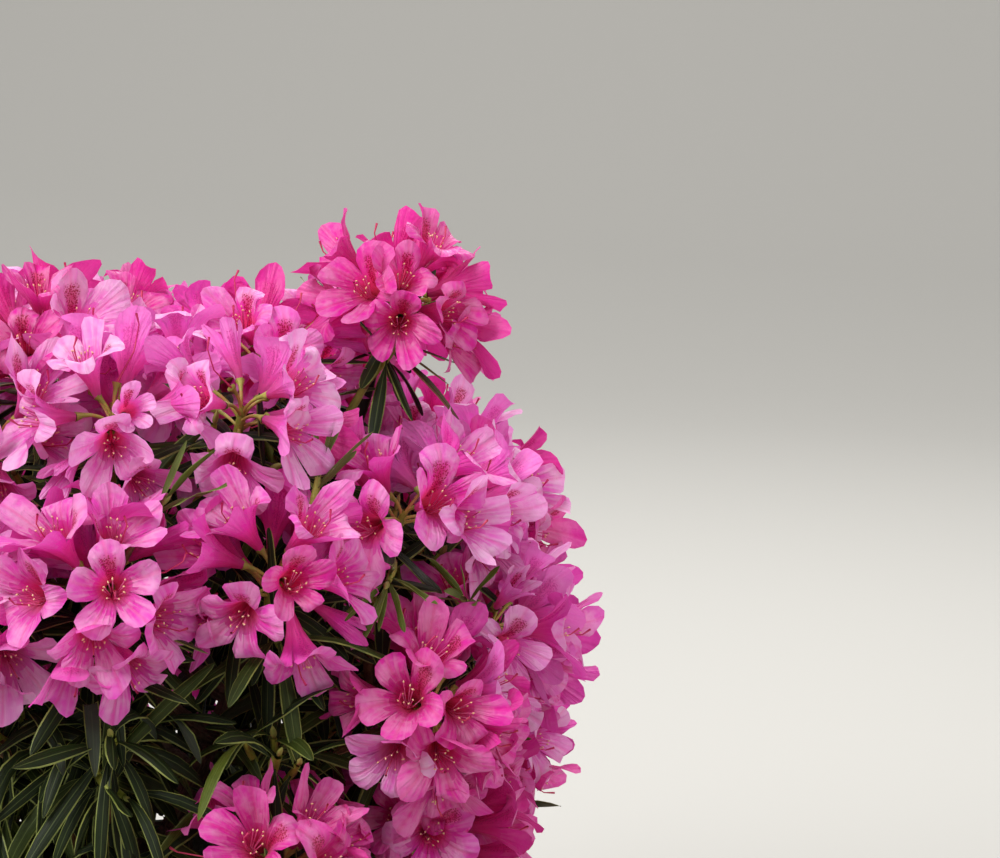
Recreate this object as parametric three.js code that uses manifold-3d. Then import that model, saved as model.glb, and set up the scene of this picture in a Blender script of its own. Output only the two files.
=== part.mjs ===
// A potted rhododendron in full bloom: a plain round pot filled with soil, a short flared stem, boughs that fork
// from it, and the masses of narrow leaves and funnel-shaped flowers that the boughs carry.
// Millimetres, +Z up. The origin is the centre of the pot's flat underside. The shrub's front faces -Y.
import * as THREE from "three";
import { ConvexGeometry } from "three/addons/geometries/ConvexGeometry.js";
import { mergeVertices } from "three/addons/utils/BufferGeometryUtils.js";
import Module from "manifold-3d";

const wasm = await Module();
wasm.setup();

// Pot and soil
const POT_HEIGHT = 262;
const POT_TOP_RADIUS = 146;
const POT_BASE_RADIUS = 110;
const POT_WALL = 11;
const POT_FLOOR = 14;
const POT_EDGE = 4; // chamfer round the underside and the lip
const BAND_HEIGHT = 34; // the collar under the lip
const BAND_PROUD = 7;
const SOIL_BELOW_LIP = 24;
const SOIL_DISH = 6; // the soil is this much lower at the pot's wall than in the middle
const SOIL_FLAT = 0.72; // the share of the soil's width that is level
const ROUND_SIDES = 30;

const GAP = 0.3; // space left between two pieces that touch
const SLIVERS = [0.1, 0.15, 0.2, 0.3, 0.4]; // faces thinner than one of these are merged away
const GRID = 0.01; // points are moved to this grid
const DRAW_BACK = 0.04; // opens a place where a surface touches itself

// Stem
const STEM_HEIGHT = 66;
const STEM_FOOT_RADIUS = 15;
const STEM_TOP_RADIUS = 12.5;
const HEAD_RADIUS = 17; // the knuckle that the boughs fork from
const HEAD_TILTS = [-40, -8, 24, 60]; // the degrees at which the knuckle's rings lie
const HEAD_FLATNESS = 0.8; // the knuckle's height as a share of its width
const FLARE = 17; // how far the roots spread past the foot, at the soil
const FLARE_HEIGHT = 34;
const FLARE_ROOTS = 5;
const STEM_FOOT = { x: -8, y: 6 };
const STEM_FORK = { x: 4, y: -3 };
const STEM_SIDES = 15;
const STEM_RINGS = 5;

// Crown. Its outline is a rounded dome round the fork, swollen or sunk in a few places.
// Azimuth 0 is +X and -90 is the front; elevations are over the fork; both are in degrees.
const CROWN_RADIUS = 258;
const CROWN_RISE = 360; // from the fork to the top of the dome
const CROWN_DROP = 74; // from the fork to the lowest skirt
const DOME_ROUNDNESS = 2.35; // 2 is an ellipse, more is boxier
const SWELLS = [
  { azimuth: 8, elevation: 63, rise: 0.185, spread: 12 }, // the tallest heads
  { azimuth: -18, elevation: 35, rise: 0.05, spread: 20 }, // the fullest side
  { azimuth: 172, elevation: 72, rise: 0.06, spread: 13 }, // a lower hump on the other side
  { azimuth: 60, elevation: 88, rise: -0.17, spread: 12 }, // the dip between the two
  { azimuth: -5, elevation: 50, rise: -0.06, spread: 9 }, // the notch under the tallest heads
  { azimuth: -12, elevation: 0, rise: -0.34, spread: 22 }, // where the skirt is tucked in
  { azimuth: -108, elevation: 9, rise: 0.02, spread: 14 }, // and where its leaves hang fullest
  { azimuth: -23, elevation: 61, rise: -0.1, spread: 8 }, // a hollow where leaves show between the heads
];

// Masses, in three tiers of evenly turned boughs. The top tier's first bough is the leader.
const TIERS = [
  { name: "middle", elevation: 39, count: 4, first: -22, foot: 7 },
  { name: "top", elevation: 69, count: 3, first: 5, foot: 6.4 },
  { name: "lower", elevation: 9, count: 5, first: -36, foot: 5.4 },
];
const LOWER_FORK_SHARE = [0.36, 0.56]; // where lower boughs leave the middle one beside them, of its length
const TOP_FORK_SHARE = [0.4, 0.55]; // and where top boughs leave the leader

// Boughs
const BOUGH_SHARE = 0.46; // how far out a bough runs, of its mass's reach
const BOUGH_TIP_RADIUS = 3.8;
const BOUGH_SIDES = 6;
const BOUGH_STEPS = 4;
const LIMB_TAPER = 0.8; // below 1, a limb thins faster near its foot
const LOW_BOW = { elevation: 15, rise: 0.2 }; // a low bough rises over its straight line by this share of it
const HIGH_BOW = { elevation: 60, rise: -0.16 }; // and a high one hangs under it

// Shoots, in rows round the crown. Each ends in a flower head over a whorl of leaves, or in leaves alone.
const LAYERS = [
  { reach: 1, lowest: -4, spacing: 74, leafy: false }, // the outer shoots
  { reach: 0.68, lowest: 2, spacing: 100, leafy: true }, // and leafy ones inside, seen between the heads
];
const ROW_SHARE = 0.92; // rows lie closer together than the shoots in a row
const SHOOT_SCATTER = 8; // degrees, from one side to the other
const ROW_TURN = 11; // degrees that each row is turned on from the one below
const SHOOT_PULL = 0.03; // how far a shoot is drawn in to the middle of its mass
const SWELL_SCATTER = 0.07; // shoots differ by this share in length
const HEAD_REACH = 50; // from a shoot's end to the crown's outline
const SHOOT_LIFT = 0.3; // shoots turn up towards the light by this much

// Twigs, three-sided, each ending in a knob that the flowers spring from
const HUB_SHARE = 0.6; // where a mass's own stem ends, of its reach
const MASS_STEM_RADIUS = 3.6;
const MASS_STEM_STEPS = 2;
const TWIGS_LEAVE = [0.96, 0.6]; // where twigs leave the mass's stem, of its length, from the first to the last
const TWIG_BEND = 0.4; // how far back from its end a twig is bent, of its length
const STEM_BEND = 0.5; // and a mass's stem from its foot
const TWIG_RADIUS = 2.7;
const TWIG_TIP_RADIUS = 2.1;
const KNOB_RADIUS = 3.4;
const KNOB_LENGTH = 6;
const MASS_STEM_SIDES = 4;

// Flowers, in heads of four large ones: one on each side of the knob and one on its end
const FLOWER_LENGTH = 48;
const FLOWER_RADIUS = 34;
const NOTCH_SHARE = 0.56; // the notch between two lobes, of the flower's radius
const NOTCH_BACK = 17; // and how far back it lies
const THROAT_DEPTH = 26;
const RING_TILT = 62; // degrees between the head's axis and the flowers round it

// Leaves, in whorls of three
const LEAF_LENGTH = 88;
const LEAF_WIDTH = 19;
const LEAF_THICKNESS = 2.6;
const LEAF_DROOP = 12; // how far a leaf's tip hangs below its line
const WHORL_LENGTH = 8;
const WHORL_TWIST = 38; // degrees that each whorl is turned on from the one before
const BLOOM_WHORL_TILTS = [102];
const LEAFY_WHORL_TILTS = [108, 86, 58];
const LOWEST_LEAF = 222; // no leaf hangs lower than this

// Bloom stops at this height over the fork, and higher up on the shaded, leafy side. In the hollow there is none,
// and one sheltered shoot of the leafy side flowers all the same.
const BLOOM_EDGE = 8;
const LEAFY_SIDE = -100;
const LEAFY_RISE = 36;
const LEAFY_SPREAD = 48;
const LEAFY_SPOT = { azimuth: -23, elevation: 61, width: 7 };
const SHELTERED_SPOT = { azimuth: -66, elevation: 16, width: 6 };

const MASS_GAP = 1.4; // between two neighbouring masses
const FLOWER_CROSSING = 0.06; // the share of a flower that may lie inside another
const LEAF_CROSSING = 0.002; // and of a leaf
const LEAF_CLEARANCE = 1.2; // from a leaf or flower to a limb
const POT_CLEARANCE = 4;
const SMALLER_TRIES = [1, 0.8, 0.6]; // sizes tried where a leaf or flower would leave its mass's space

const SOIL_TOP = POT_HEIGHT - SOIL_BELOW_LIP;
const UP = new THREE.Vector3(0, 0, 1);
const FORK = new THREE.Vector3(STEM_FORK.x, STEM_FORK.y, SOIL_TOP + STEM_HEIGHT);
const radians = THREE.MathUtils.degToRad;
const degrees = THREE.MathUtils.radToDeg;
const mix = THREE.MathUtils.lerp;

const COLOURS = {
  pot: new THREE.MeshStandardMaterial({ color: 0x8b8983, roughness: 0.85, metalness: 0 }),
  soil: new THREE.MeshStandardMaterial({ color: 0x3b2a1f, roughness: 1, metalness: 0 }),
  bark: new THREE.MeshStandardMaterial({ color: 0x6b4a33, roughness: 0.9, metalness: 0 }),
  bloom: new THREE.MeshStandardMaterial({ color: 0xd23a93, roughness: 0.6, metalness: 0 }),
  leaf: new THREE.MeshStandardMaterial({ color: 0x3c5423, roughness: 0.5, metalness: 0 }),
};

// A repeatable fraction from 0 to 1 for two whole numbers.
function chance(a, b) {
  let h = Math.imul(a + 1, 73856093) ^ Math.imul(b + 1, 19349663);
  h = Math.imul(h ^ (h >>> 13), 1274126177);
  h ^= h >>> 16;
  return (h >>> 0) / 4294967296;
}

// The unit direction of an azimuth and an elevation.
function heading(azimuth, elevation) {
  const a = radians(azimuth);
  const e = radians(elevation);
  return new THREE.Vector3(Math.cos(a) * Math.cos(e), Math.sin(a) * Math.cos(e), Math.sin(e));
}

// Two unit vectors square to a direction: the first level, or nearly so, and the second pointing up the slope.
function sidesOf(direction) {
  const start = Math.abs(direction.z) > 0.95 ? new THREE.Vector3(1, 0, 0) : UP;
  const level = new THREE.Vector3().crossVectors(start, direction).normalize();
  const rising = new THREE.Vector3().crossVectors(direction, level).normalize();
  return [level, rising];
}

// How far the plain dome lies from the fork in a direction.
function domeReach(direction) {
  const across = Math.hypot(direction.x, direction.y) / CROWN_RADIUS;
  const up = Math.abs(direction.z) / (direction.z > 0 ? CROWN_RISE : CROWN_DROP);
  return (across ** DOME_ROUNDNESS + up ** DOME_ROUNDNESS) ** (-1 / DOME_ROUNDNESS);
}

// The angle in degrees between a direction and a place on the crown.
function awayFrom(direction, place) {
  return degrees(direction.angleTo(heading(place.azimuth, place.elevation)));
}

// How far the crown reaches in a direction, with its swells.
function crownReach(direction) {
  const swells = SWELLS.map((swell) => {
    return swell.rise * Math.exp(-((awayFrom(direction, swell) / swell.spread) ** 2));
  });
  return domeReach(direction) * (1 + swells.reduce((a, b) => a + b));
}

// The lowest elevation at which a shoot still flowers.
function bloomEdge(azimuth) {
  const away = Math.abs(((azimuth - LEAFY_SIDE + 540) % 360) - 180);
  return BLOOM_EDGE + LEAFY_RISE * Math.exp(-((away / LEAFY_SPREAD) ** 4));
}

// A closed surface from its points and its faces, each face a list of three or more point numbers.
function surface(points, faces) {
  const triangles = faces.flatMap((f) => f.slice(2).map((_, i) => [f[0], f[i + 1], f[i + 2]]));
  const geometry = new THREE.BufferGeometry();
  geometry.setAttribute("position", new THREE.Float32BufferAttribute(points.flatMap((p) => p.toArray()), 3));
  geometry.setIndex(triangles.flat());
  return geometry;
}

// A closed skin over rings of points, with flat ends. Every ring has the same number of points.
function skinned(rings) {
  const n = rings[0].length;
  const around = [...Array(n).keys()];
  const faces = [around.toReversed(), around.map((j) => (rings.length - 1) * n + j)];
  for (let i = 0; i + 1 < rings.length; i++)
    for (const j of around) {
      const k = (j + 1) % n;
      faces.push([i * n + j, i * n + k, (i + 1) * n + k, (i + 1) * n + j]);
    }
  return surface(rings.flat(), faces);
}

// A limb that tapers along a curve.
function limb(curve, footRadius, tipRadius, sides, steps) {
  const frames = curve.computeFrenetFrames(steps, false);
  const rings = [];
  for (let i = 0; i <= steps; i++) {
    const radius = mix(footRadius, tipRadius, (i / steps) ** LIMB_TAPER);
    const centre = curve.getPointAt(i / steps);
    const corner = (j) => {
      const turn = (2 * Math.PI * j) / sides;
      return centre
        .clone()
        .addScaledVector(frames.normals[i], radius * Math.cos(turn))
        .addScaledVector(frames.binormals[i], radius * Math.sin(turn));
    };
    rings.push(Array.from({ length: sides }, (_, j) => corner(j)));
  }
  return skinned(rings);
}

// A surface's points, with those that share a place merged, and its triangles as lists of three point numbers.
function meshOf(geometry) {
  const plain = geometry.clone();
  plain.deleteAttribute("normal");
  plain.deleteAttribute("uv");
  const merged = mergeVertices(plain, 1e-3);
  const ids = [...merged.index.array];
  const corners = ids.flatMap((id, i) => (i % 3 ? [] : [[id, ids[i + 1], ids[i + 2]]]));
  const triangles = corners.filter(([a, b, c]) => a !== b && b !== c && c !== a);
  return { places: merged.attributes.position.array, triangles };
}

function solidOf(geometry) {
  const { places, triangles } = meshOf(geometry);
  const mesh = new wasm.Mesh({ numProp: 3, vertProperties: places, triVerts: new Uint32Array(triangles.flat()) });
  return new wasm.Manifold(mesh);
}

function geometryOf(solid) {
  const made = solid.getMesh();
  const geometry = new THREE.BufferGeometry();
  geometry.setAttribute("position", new THREE.Float32BufferAttribute(made.vertProperties, 3));
  geometry.setIndex(new THREE.BufferAttribute(made.triVerts, 1));
  geometry.computeVertexNormals();
  return geometry;
}

// True where every edge of a surface has exactly two faces.
function isClosed(geometry) {
  const { triangles } = meshOf(geometry);
  const faces = new Map();
  for (const [a, b, c] of triangles)
    for (const [from, to] of [[a, b], [b, c], [c, a]]) {
      const edge = Math.min(from, to) + " " + Math.max(from, to);
      faces.set(edge, (faces.get(edge) ?? 0) + 1);
    }
  return [...faces.values()].every((count) => count === 2);
}

// Moves a surface's points to a fine grid, and where two sheets of it touch, draws the second back a little.
function settlePoints(geometry, grid) {
  const { position, normal } = geometry.attributes;
  const seen = new Set();
  for (let i = 0; i < position.count; i++) {
    const place = new THREE.Vector3().fromBufferAttribute(position, i).divideScalar(grid).round();
    const key = place.toArray().join();
    place.multiplyScalar(grid);
    if (seen.has(key)) place.addScaledVector(new THREE.Vector3().fromBufferAttribute(normal, i), -DRAW_BACK);
    seen.add(key);
    position.setXYZ(i, place.x, place.y, place.z);
  }
  return geometry;
}

// A solid as one plain body: no loose scraps, no sealed hollows, no hair-thin faces, and no points too close
// together to tell apart. The thinnest limit for its faces that leaves every edge with two faces is taken.
function wholePiece(solid) {
  const largest = (parts) => parts.reduce((a, b) => (a.volume() > b.volume() ? a : b));
  const whole = largest(solid.decompose());
  const tries = SLIVERS.map((sliver) => {
    const merged = solidOf(settlePoints(geometryOf(largest(whole.simplify(sliver).decompose())), GRID));
    return solidOf(settlePoints(geometryOf(merged), GRID / 10));
  });
  return tries.find((solid) => isClosed(geometryOf(solid))) ?? tries[0];
}

function named(name, geometry, material) {
  const mesh = new THREE.Mesh(geometry, material);
  mesh.name = name;
  return mesh;
}

// A turned piece, from its profile of [radius, height] points, standing on its own axis.
function turned(profile) {
  const points = profile.map(([r, h]) => new THREE.Vector2(r, h));
  return new THREE.LatheGeometry(points, ROUND_SIDES).rotateX(Math.PI / 2);
}

// The pot's outer radius at a height, without its collar.
function potRadius(height) {
  return mix(POT_BASE_RADIUS, POT_TOP_RADIUS, height / POT_HEIGHT);
}

function pot() {
  const bandFoot = POT_HEIGHT - BAND_HEIGHT;
  const lip = POT_TOP_RADIUS + BAND_PROUD;
  return turned([
    [0, 0],
    [POT_BASE_RADIUS - POT_EDGE, 0],
    [potRadius(POT_EDGE), POT_EDGE],
    [potRadius(bandFoot), bandFoot],
    [potRadius(bandFoot) + BAND_PROUD, bandFoot + POT_EDGE],
    [lip, POT_HEIGHT - POT_EDGE],
    [lip - POT_EDGE, POT_HEIGHT],
    [POT_TOP_RADIUS - POT_WALL + POT_EDGE, POT_HEIGHT],
    [POT_TOP_RADIUS - POT_WALL, POT_HEIGHT - POT_EDGE],
    [potRadius(POT_FLOOR) - POT_WALL, POT_FLOOR],
    [0, POT_FLOOR],
  ]);
}

function soil() {
  const foot = POT_FLOOR + GAP;
  const edge = SOIL_TOP - SOIL_DISH;
  const inside = (height) => potRadius(height) - POT_WALL - 2 * GAP;
  return turned([
    [0, foot],
    [inside(foot), foot],
    [inside(edge), edge],
    [inside(edge) * SOIL_FLAT, SOIL_TOP],
    [0, SOIL_TOP],
  ]);
}

// The stem from its flat cut on the soil, through the root flare, to the knuckle at the fork.
function stem(grown = 0) {
  const foot = new THREE.Vector3(STEM_FOOT.x, STEM_FOOT.y, SOIL_TOP + GAP);
  const ring = (centre, radiusAt) =>
    Array.from({ length: STEM_SIDES }, (_, j) => {
      const turn = (2 * Math.PI * j) / STEM_SIDES;
      const radius = radiusAt(turn) + grown;
      return new THREE.Vector3(centre.x + radius * Math.cos(turn), centre.y + radius * Math.sin(turn), centre.z);
    });
  const rings = [];
  for (let i = 0; i < STEM_RINGS; i++) {
    const share = i / STEM_RINGS;
    const height = share * (STEM_HEIGHT - HEAD_RADIUS);
    const centre = foot.clone().lerp(FORK, height / STEM_HEIGHT);
    const flare = FLARE * Math.max(0, 1 - height / FLARE_HEIGHT) ** 2;
    const body = mix(STEM_FOOT_RADIUS, STEM_TOP_RADIUS, share);
    rings.push(ring(centre, (turn) => body + flare * (0.5 + 0.5 * Math.cos(FLARE_ROOTS * turn + 1))));
  }
  for (const tilt of HEAD_TILTS) {
    const centre = FORK.clone().addScaledVector(UP, HEAD_RADIUS * HEAD_FLATNESS * Math.sin(radians(tilt)));
    rings.push(ring(centre, () => HEAD_RADIUS * Math.cos(radians(tilt))));
  }
  return skinned(rings);
}

// Every mass with the direction of its middle, its bough's foot radius, and the bough that its bough springs from.
function masses() {
  const all = [];
  for (const tier of TIERS)
    for (let i = 0; i < tier.count; i++) {
      const azimuth = tier.first + (360 * i) / tier.count;
      const direction = heading(azimuth, tier.elevation);
      const mass = { name: tier.name + "_" + (i + 1), direction, foot: tier.foot, elevation: tier.elevation };
      if (tier.name === "lower") {
        const beside = all.filter((m) => m.name.startsWith("middle"));
        mass.from = beside.reduce((a, b) => (a.direction.dot(direction) > b.direction.dot(direction) ? a : b));
        mass.at = LOWER_FORK_SHARE[i % 2];
      }
      if (tier.name === "top" && i > 0) {
        mass.from = all.find((m) => m.name === "top_1");
        mass.at = TOP_FORK_SHARE[i % 2];
      }
      all.push(mass);
    }
  return all;
}

// A bough's line. High ones leave the fork outwards and then rise, and low ones rise first and then level out.
function boughLine(mass) {
  const start = mass.from ? mass.from.line.getPointAt(mass.at) : FORK.clone();
  const end = FORK.clone().addScaledVector(mass.direction, crownReach(mass.direction) * BOUGH_SHARE);
  const steepness = THREE.MathUtils.smoothstep(mass.elevation, LOW_BOW.elevation, HIGH_BOW.elevation);
  const bow = mix(LOW_BOW.rise, HIGH_BOW.rise, steepness);
  const bend = start.clone().lerp(end, 0.5).addScaledVector(UP, bow * start.distanceTo(end));
  return new THREE.QuadraticBezierCurve3(start, bend, end);
}

function boughSolid(mass, grown) {
  return solidOf(limb(mass.line, mass.foot + grown, BOUGH_TIP_RADIUS + grown, BOUGH_SIDES, BOUGH_STEPS));
}

// The shoots, in rows round the crown about one flower head apart, each given to the mass it lies nearest to.
function shareOutShoots(all) {
  let number = 0;
  for (const { reach, lowest, spacing, leafy } of LAYERS) {
    let elevation = lowest;
    for (let row = 0; elevation < 90; row++) {
      const out = reach * domeReach(heading(0, elevation)) - HEAD_REACH;
      const count = Math.max(1, Math.round((2 * Math.PI * out * Math.cos(radians(elevation))) / spacing));
      for (let i = 0; i < count; i++) {
        const azimuth = (360 * i) / count + ROW_TURN * row + SHOOT_SCATTER * (chance(number, 1) - 0.5);
        const direction = heading(azimuth, elevation + SHOOT_SCATTER * (chance(number, 2) - 0.5));
        const mass = all.reduce((a, b) => (a.direction.dot(direction) > b.direction.dot(direction) ? a : b));
        direction.lerp(mass.direction, SHOOT_PULL).normalize();
        const length = reach * (1 + SWELL_SCATTER * (chance(number, 3) - 0.5));
        const inSpot = awayFrom(direction, LEAFY_SPOT) < LEAFY_SPOT.width;
        const sheltered = awayFrom(direction, SHELTERED_SPOT) < SHELTERED_SPOT.width;
        mass.shoots.push({
          direction,
          end: FORK.clone().addScaledVector(direction, crownReach(direction) * length - HEAD_REACH),
          axis: direction.clone().addScaledVector(UP, SHOOT_LIFT).normalize(),
          blooms: !leafy && !inSpot && (sheltered || elevation > bloomEdge(azimuth)),
          turn: 360 * chance(number, 4),
        });
        number++;
      }
      elevation += degrees(spacing / out) * ROW_SHARE;
    }
  }
}

// A test of whether a point keeps to a mass's space: the shoot that it lies nearest to, as seen from the fork, is
// one of the mass's own, and it is some way off the plane halfway to any other mass's shoot.
function spaceTest(mass, all) {
  const others = all.filter((m) => m !== mass).flatMap((m) => m.shoots);
  return (point) => {
    const out = point.clone().sub(FORK);
    const own = mass.shoots.reduce((a, b) => (a.direction.dot(out) > b.direction.dot(out) ? a : b));
    const clear = (shoot) => out.dot(own.direction.clone().sub(shoot.direction).normalize()) > MASS_GAP / 2;
    return point.z > LOWEST_LEAF && others.every(clear);
  };
}

// A test of whether a leaf or flower has room: its points keep to its mass's space, its body is clear of limbs, pot
// and other masses, and only a small share of it crosses any one thing of its own mass.
function hasRoom(mass, points, crossing, placed, keptOut) {
  if (!points.every(mass.inSpace)) return false;
  const body = wrapped(points);
  if (!body.intersect(keptOut).isEmpty()) return false;
  const most = crossing * body.volume();
  return placed.every((other) => {
    const common = body.intersect(other.body);
    return common.isEmpty() || (other.mass === mass && common.volume() <= most);
  });
}

// The convex body round some points.
function wrapped(points) {
  return solidOf(new ConvexGeometry(points));
}

// The triangles between two loops of points that run the same way round.
function band(points, from, to) {
  const nearest = to.reduce((a, b) => {
    const [toA, toB] = [a, b].map((id) => points[id].distanceTo(points[from[0]]));
    return toA < toB ? a : b;
  });
  const start = to.indexOf(nearest);
  const other = (j) => to[(start + j) % to.length];
  const own = (i) => from[i % from.length];
  const faces = [];
  let [i, j] = [0, 0];
  while (i < from.length || j < to.length)
    if ((i + 1) / from.length <= (j + 1) / to.length) faces.push([own(i), own(++i), other(j)]);
    else faces.push([own(i), other(j + 1), other(j++)]);
  return faces;
}

// The points of a flower of one size: its five notches, its five lobes' tips and its sunken throat.
function flowerPoints(foot, direction, size) {
  const [level, rising] = sidesOf(direction);
  const at = (along, radius, turn) =>
    foot
      .clone()
      .addScaledVector(direction, along * size)
      .addScaledVector(level, radius * size * Math.cos(turn))
      .addScaledVector(rising, radius * size * Math.sin(turn));
  const turnOf = (i) => Math.PI / 2 + (2 * Math.PI * i) / 5;
  return [
    ...[0, 1, 2, 3, 4].map((i) => at(FLOWER_LENGTH - NOTCH_BACK, FLOWER_RADIUS * NOTCH_SHARE, turnOf(i - 0.5))),
    ...[0, 1, 2, 3, 4].map((i) => at(FLOWER_LENGTH, FLOWER_RADIUS, turnOf(i))),
    at(FLOWER_LENGTH - THROAT_DEPTH, 0, 0),
  ];
}

// A flower's faces on a loop of points: a funnel out to the notches, then lobes round the throat.
function flowerFaces(points, loop, first) {
  const notches = [0, 1, 2, 3, 4].map((i) => first + i);
  const lobes = notches.flatMap((notch, i) => {
    const [next, lobe, throat] = [first + ((i + 1) % 5), first + 5 + i, first + 10];
    return [[notch, next, lobe], [throat, notch, lobe], [throat, lobe, next]];
  });
  return [...band(points, loop, notches), ...lobes];
}

// The points of a narrow leaf of one size: four round its middle and its hanging tip.
function leafPoints(foot, direction, size) {
  const [level, rising] = sidesOf(direction);
  const middle = foot.clone().addScaledVector(direction, 0.5 * LEAF_LENGTH * size);
  const tip = foot.clone().addScaledVector(direction, LEAF_LENGTH * size).addScaledVector(UP, -LEAF_DROOP * size);
  return [
    middle.clone().addScaledVector(level, 0.5 * LEAF_WIDTH * size),
    middle.clone().addScaledVector(rising, 0.5 * LEAF_THICKNESS * size),
    middle.clone().addScaledVector(level, -0.5 * LEAF_WIDTH * size),
    middle.clone().addScaledVector(rising, -0.5 * LEAF_THICKNESS * size),
    tip,
  ];
}

function leafFaces(points, loop, first) {
  const middle = [0, 1, 2, 3].map((i) => first + i);
  const outer = middle.map((a, i) => [a, middle[(i + 1) % 4], first + 4]);
  return [...band(points, loop, middle), ...outer];
}

// A mass's own stem, from just beyond its bough's tip to its hub.
function stemLineOf(mass) {
  const along = mass.line.getTangentAt(1);
  const foot = mass.line.getPointAt(1).addScaledVector(along, GAP);
  const hub = FORK.clone().addScaledVector(mass.direction, crownReach(mass.direction) * HUB_SHARE);
  const bend = foot.clone().addScaledVector(along, foot.distanceTo(hub) * STEM_BEND);
  return new THREE.QuadraticBezierCurve3(foot, bend, hub);
}

// The twig of one shoot, as points, faces and buds. A bud is a face of the twig that a leaf or flower may grow from,
// with the direction it grows in. Flowers grow from the knob at the end, and leaves in whorls below it.
function twigOf(line, shoot) {
  const tilts = shoot.blooms ? BLOOM_WHORL_TILTS : LEAFY_WHORL_TILTS;
  const length = line.getLength();
  const knobFoot = shoot.blooms ? KNOB_LENGTH : 0;
  const backs = [length];
  for (let i = tilts.length; i >= 0; i--) backs.push(knobFoot + i * WHORL_LENGTH);
  if (shoot.blooms) backs.push(0);
  const points = [];
  const rings = backs.map((back, i) => {
    const centre = line.getPointAt(1 - back / length);
    const [level, rising] = sidesOf(line.getTangentAt(1 - back / length));
    const radius = back <= knobFoot ? KNOB_RADIUS : mix(TWIG_TIP_RADIUS, TWIG_RADIUS, back / length);
    return [0, 1, 2].map((j) => {
      const turn = radians(shoot.turn + WHORL_TWIST * i + 120 * j);
      const corner = centre.clone().addScaledVector(level, radius * Math.cos(turn));
      points.push(corner.addScaledVector(rising, radius * Math.sin(turn)));
      return points.length - 1;
    });
  });
  const faces = [rings[0].toReversed()];
  const buds = shoot.blooms ? [{ kind: "flower", loop: rings.at(-1), direction: shoot.axis }] : [];
  if (!shoot.blooms) faces.push(rings.at(-1));
  for (let i = 0; i + 1 < rings.length; i++)
    for (const j of [0, 1, 2]) {
      const k = (j + 1) % 3;
      const loop = [rings[i][j], rings[i][k], rings[i + 1][k], rings[i + 1][j]];
      const onKnob = shoot.blooms && i === rings.length - 2;
      if (i === 0) faces.push(loop);
      else buds.push(sideBud(points, loop, line.getTangentAt(1 - backs[i] / length), onKnob, tilts[i - 1]));
    }
  return { points, faces, buds };
}

// A bud on the side of a twig: it grows square to the twig, tilted forwards or back.
function sideBud(points, loop, along, onKnob, leafTilt) {
  const [a, b, c] = loop.map((id) => points[id]);
  const direction = new THREE.Vector3().crossVectors(b.clone().sub(a), c.clone().sub(a));
  direction.addScaledVector(along, -direction.dot(along)).normalize();
  const tilt = radians(onKnob ? RING_TILT : leafTilt);
  direction.multiplyScalar(Math.sin(tilt)).addScaledVector(along, Math.cos(tilt));
  return { kind: onKnob ? "flower" : "leaf", loop, direction };
}

// Grows a bud at the largest of a few sizes that has room. Where none has, the face stays bare.
function grow(bud, mass, twig, placed, keptOut) {
  const [makePoints, makeFaces, crossing] = GROWTHS[bud.kind];
  const foot = bud.loop.reduce((sum, id) => sum.add(twig.points[id]), new THREE.Vector3());
  foot.divideScalar(bud.loop.length);
  for (const size of SMALLER_TRIES) {
    const grown = makePoints(foot, bud.direction, size);
    if (!hasRoom(mass, [foot, ...grown], crossing, placed, keptOut)) continue;
    placed.push({ mass, body: wrapped([foot, ...grown]) });
    const first = twig.points.length;
    twig.points.push(...grown);
    twig.faces.push(...makeFaces(twig.points, bud.loop, first));
    return;
  }
  twig.faces.push(bud.loop);
}

const GROWTHS = {
  flower: [flowerPoints, flowerFaces, FLOWER_CROSSING],
  leaf: [leafPoints, leafFaces, LEAF_CROSSING],
};

const plant = new THREE.Group();
plant.add(named("pot", pot(), COLOURS.pot));
plant.add(named("soil", soil(), COLOURS.soil));
plant.add(named("stem", stem(), COLOURS.bark));

// Each bough is cut clear of the stem and of every bough made before it.
const all = masses();
const potSpace = turned([
  [0, 0],
  [POT_TOP_RADIUS + BAND_PROUD + POT_CLEARANCE, 0],
  [POT_TOP_RADIUS + BAND_PROUD + POT_CLEARANCE, POT_HEIGHT + POT_CLEARANCE],
  [0, POT_HEIGHT + POT_CLEARANCE],
]);
let taken = solidOf(stem(GAP));
let keptOut = solidOf(potSpace).add(solidOf(stem(LEAF_CLEARANCE)));
for (const mass of all) {
  mass.shoots = [];
  mass.line = boughLine(mass);
  const bough = wholePiece(boughSolid(mass, 0).subtract(taken));
  plant.add(named("bough_" + mass.name, geometryOf(bough), COLOURS.bark));
  taken = taken.add(boughSolid(mass, GAP));
  keptOut = keptOut.add(boughSolid(mass, LEAF_CLEARANCE));
}

// Stems and twigs come first, then every flower, and then the leaves that still have room.
shareOutShoots(all);
const placed = [];
for (const mass of all) {
  const stemLine = stemLineOf(mass);
  mass.inSpace = spaceTest(mass, all);
  mass.stem = solidOf(limb(stemLine, MASS_STEM_RADIUS, TWIG_RADIUS, MASS_STEM_SIDES, MASS_STEM_STEPS));
  mass.twigs = mass.shoots.map((shoot, k) => {
    const leaving = stemLine.getPointAt(mix(...TWIGS_LEAVE, k / mass.shoots.length));
    const before = shoot.end.clone().addScaledVector(shoot.axis, -TWIG_BEND * leaving.distanceTo(shoot.end));
    return twigOf(new THREE.QuadraticBezierCurve3(leaving, before, shoot.end), shoot);
  });
  placed.push({ mass, body: mass.stem });
}
for (const kind of ["flower", "leaf"])
  for (const mass of all)
    for (const twig of mass.twigs)
      for (const bud of twig.buds.filter((b) => b.kind === kind)) grow(bud, mass, twig, placed, keptOut);
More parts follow.
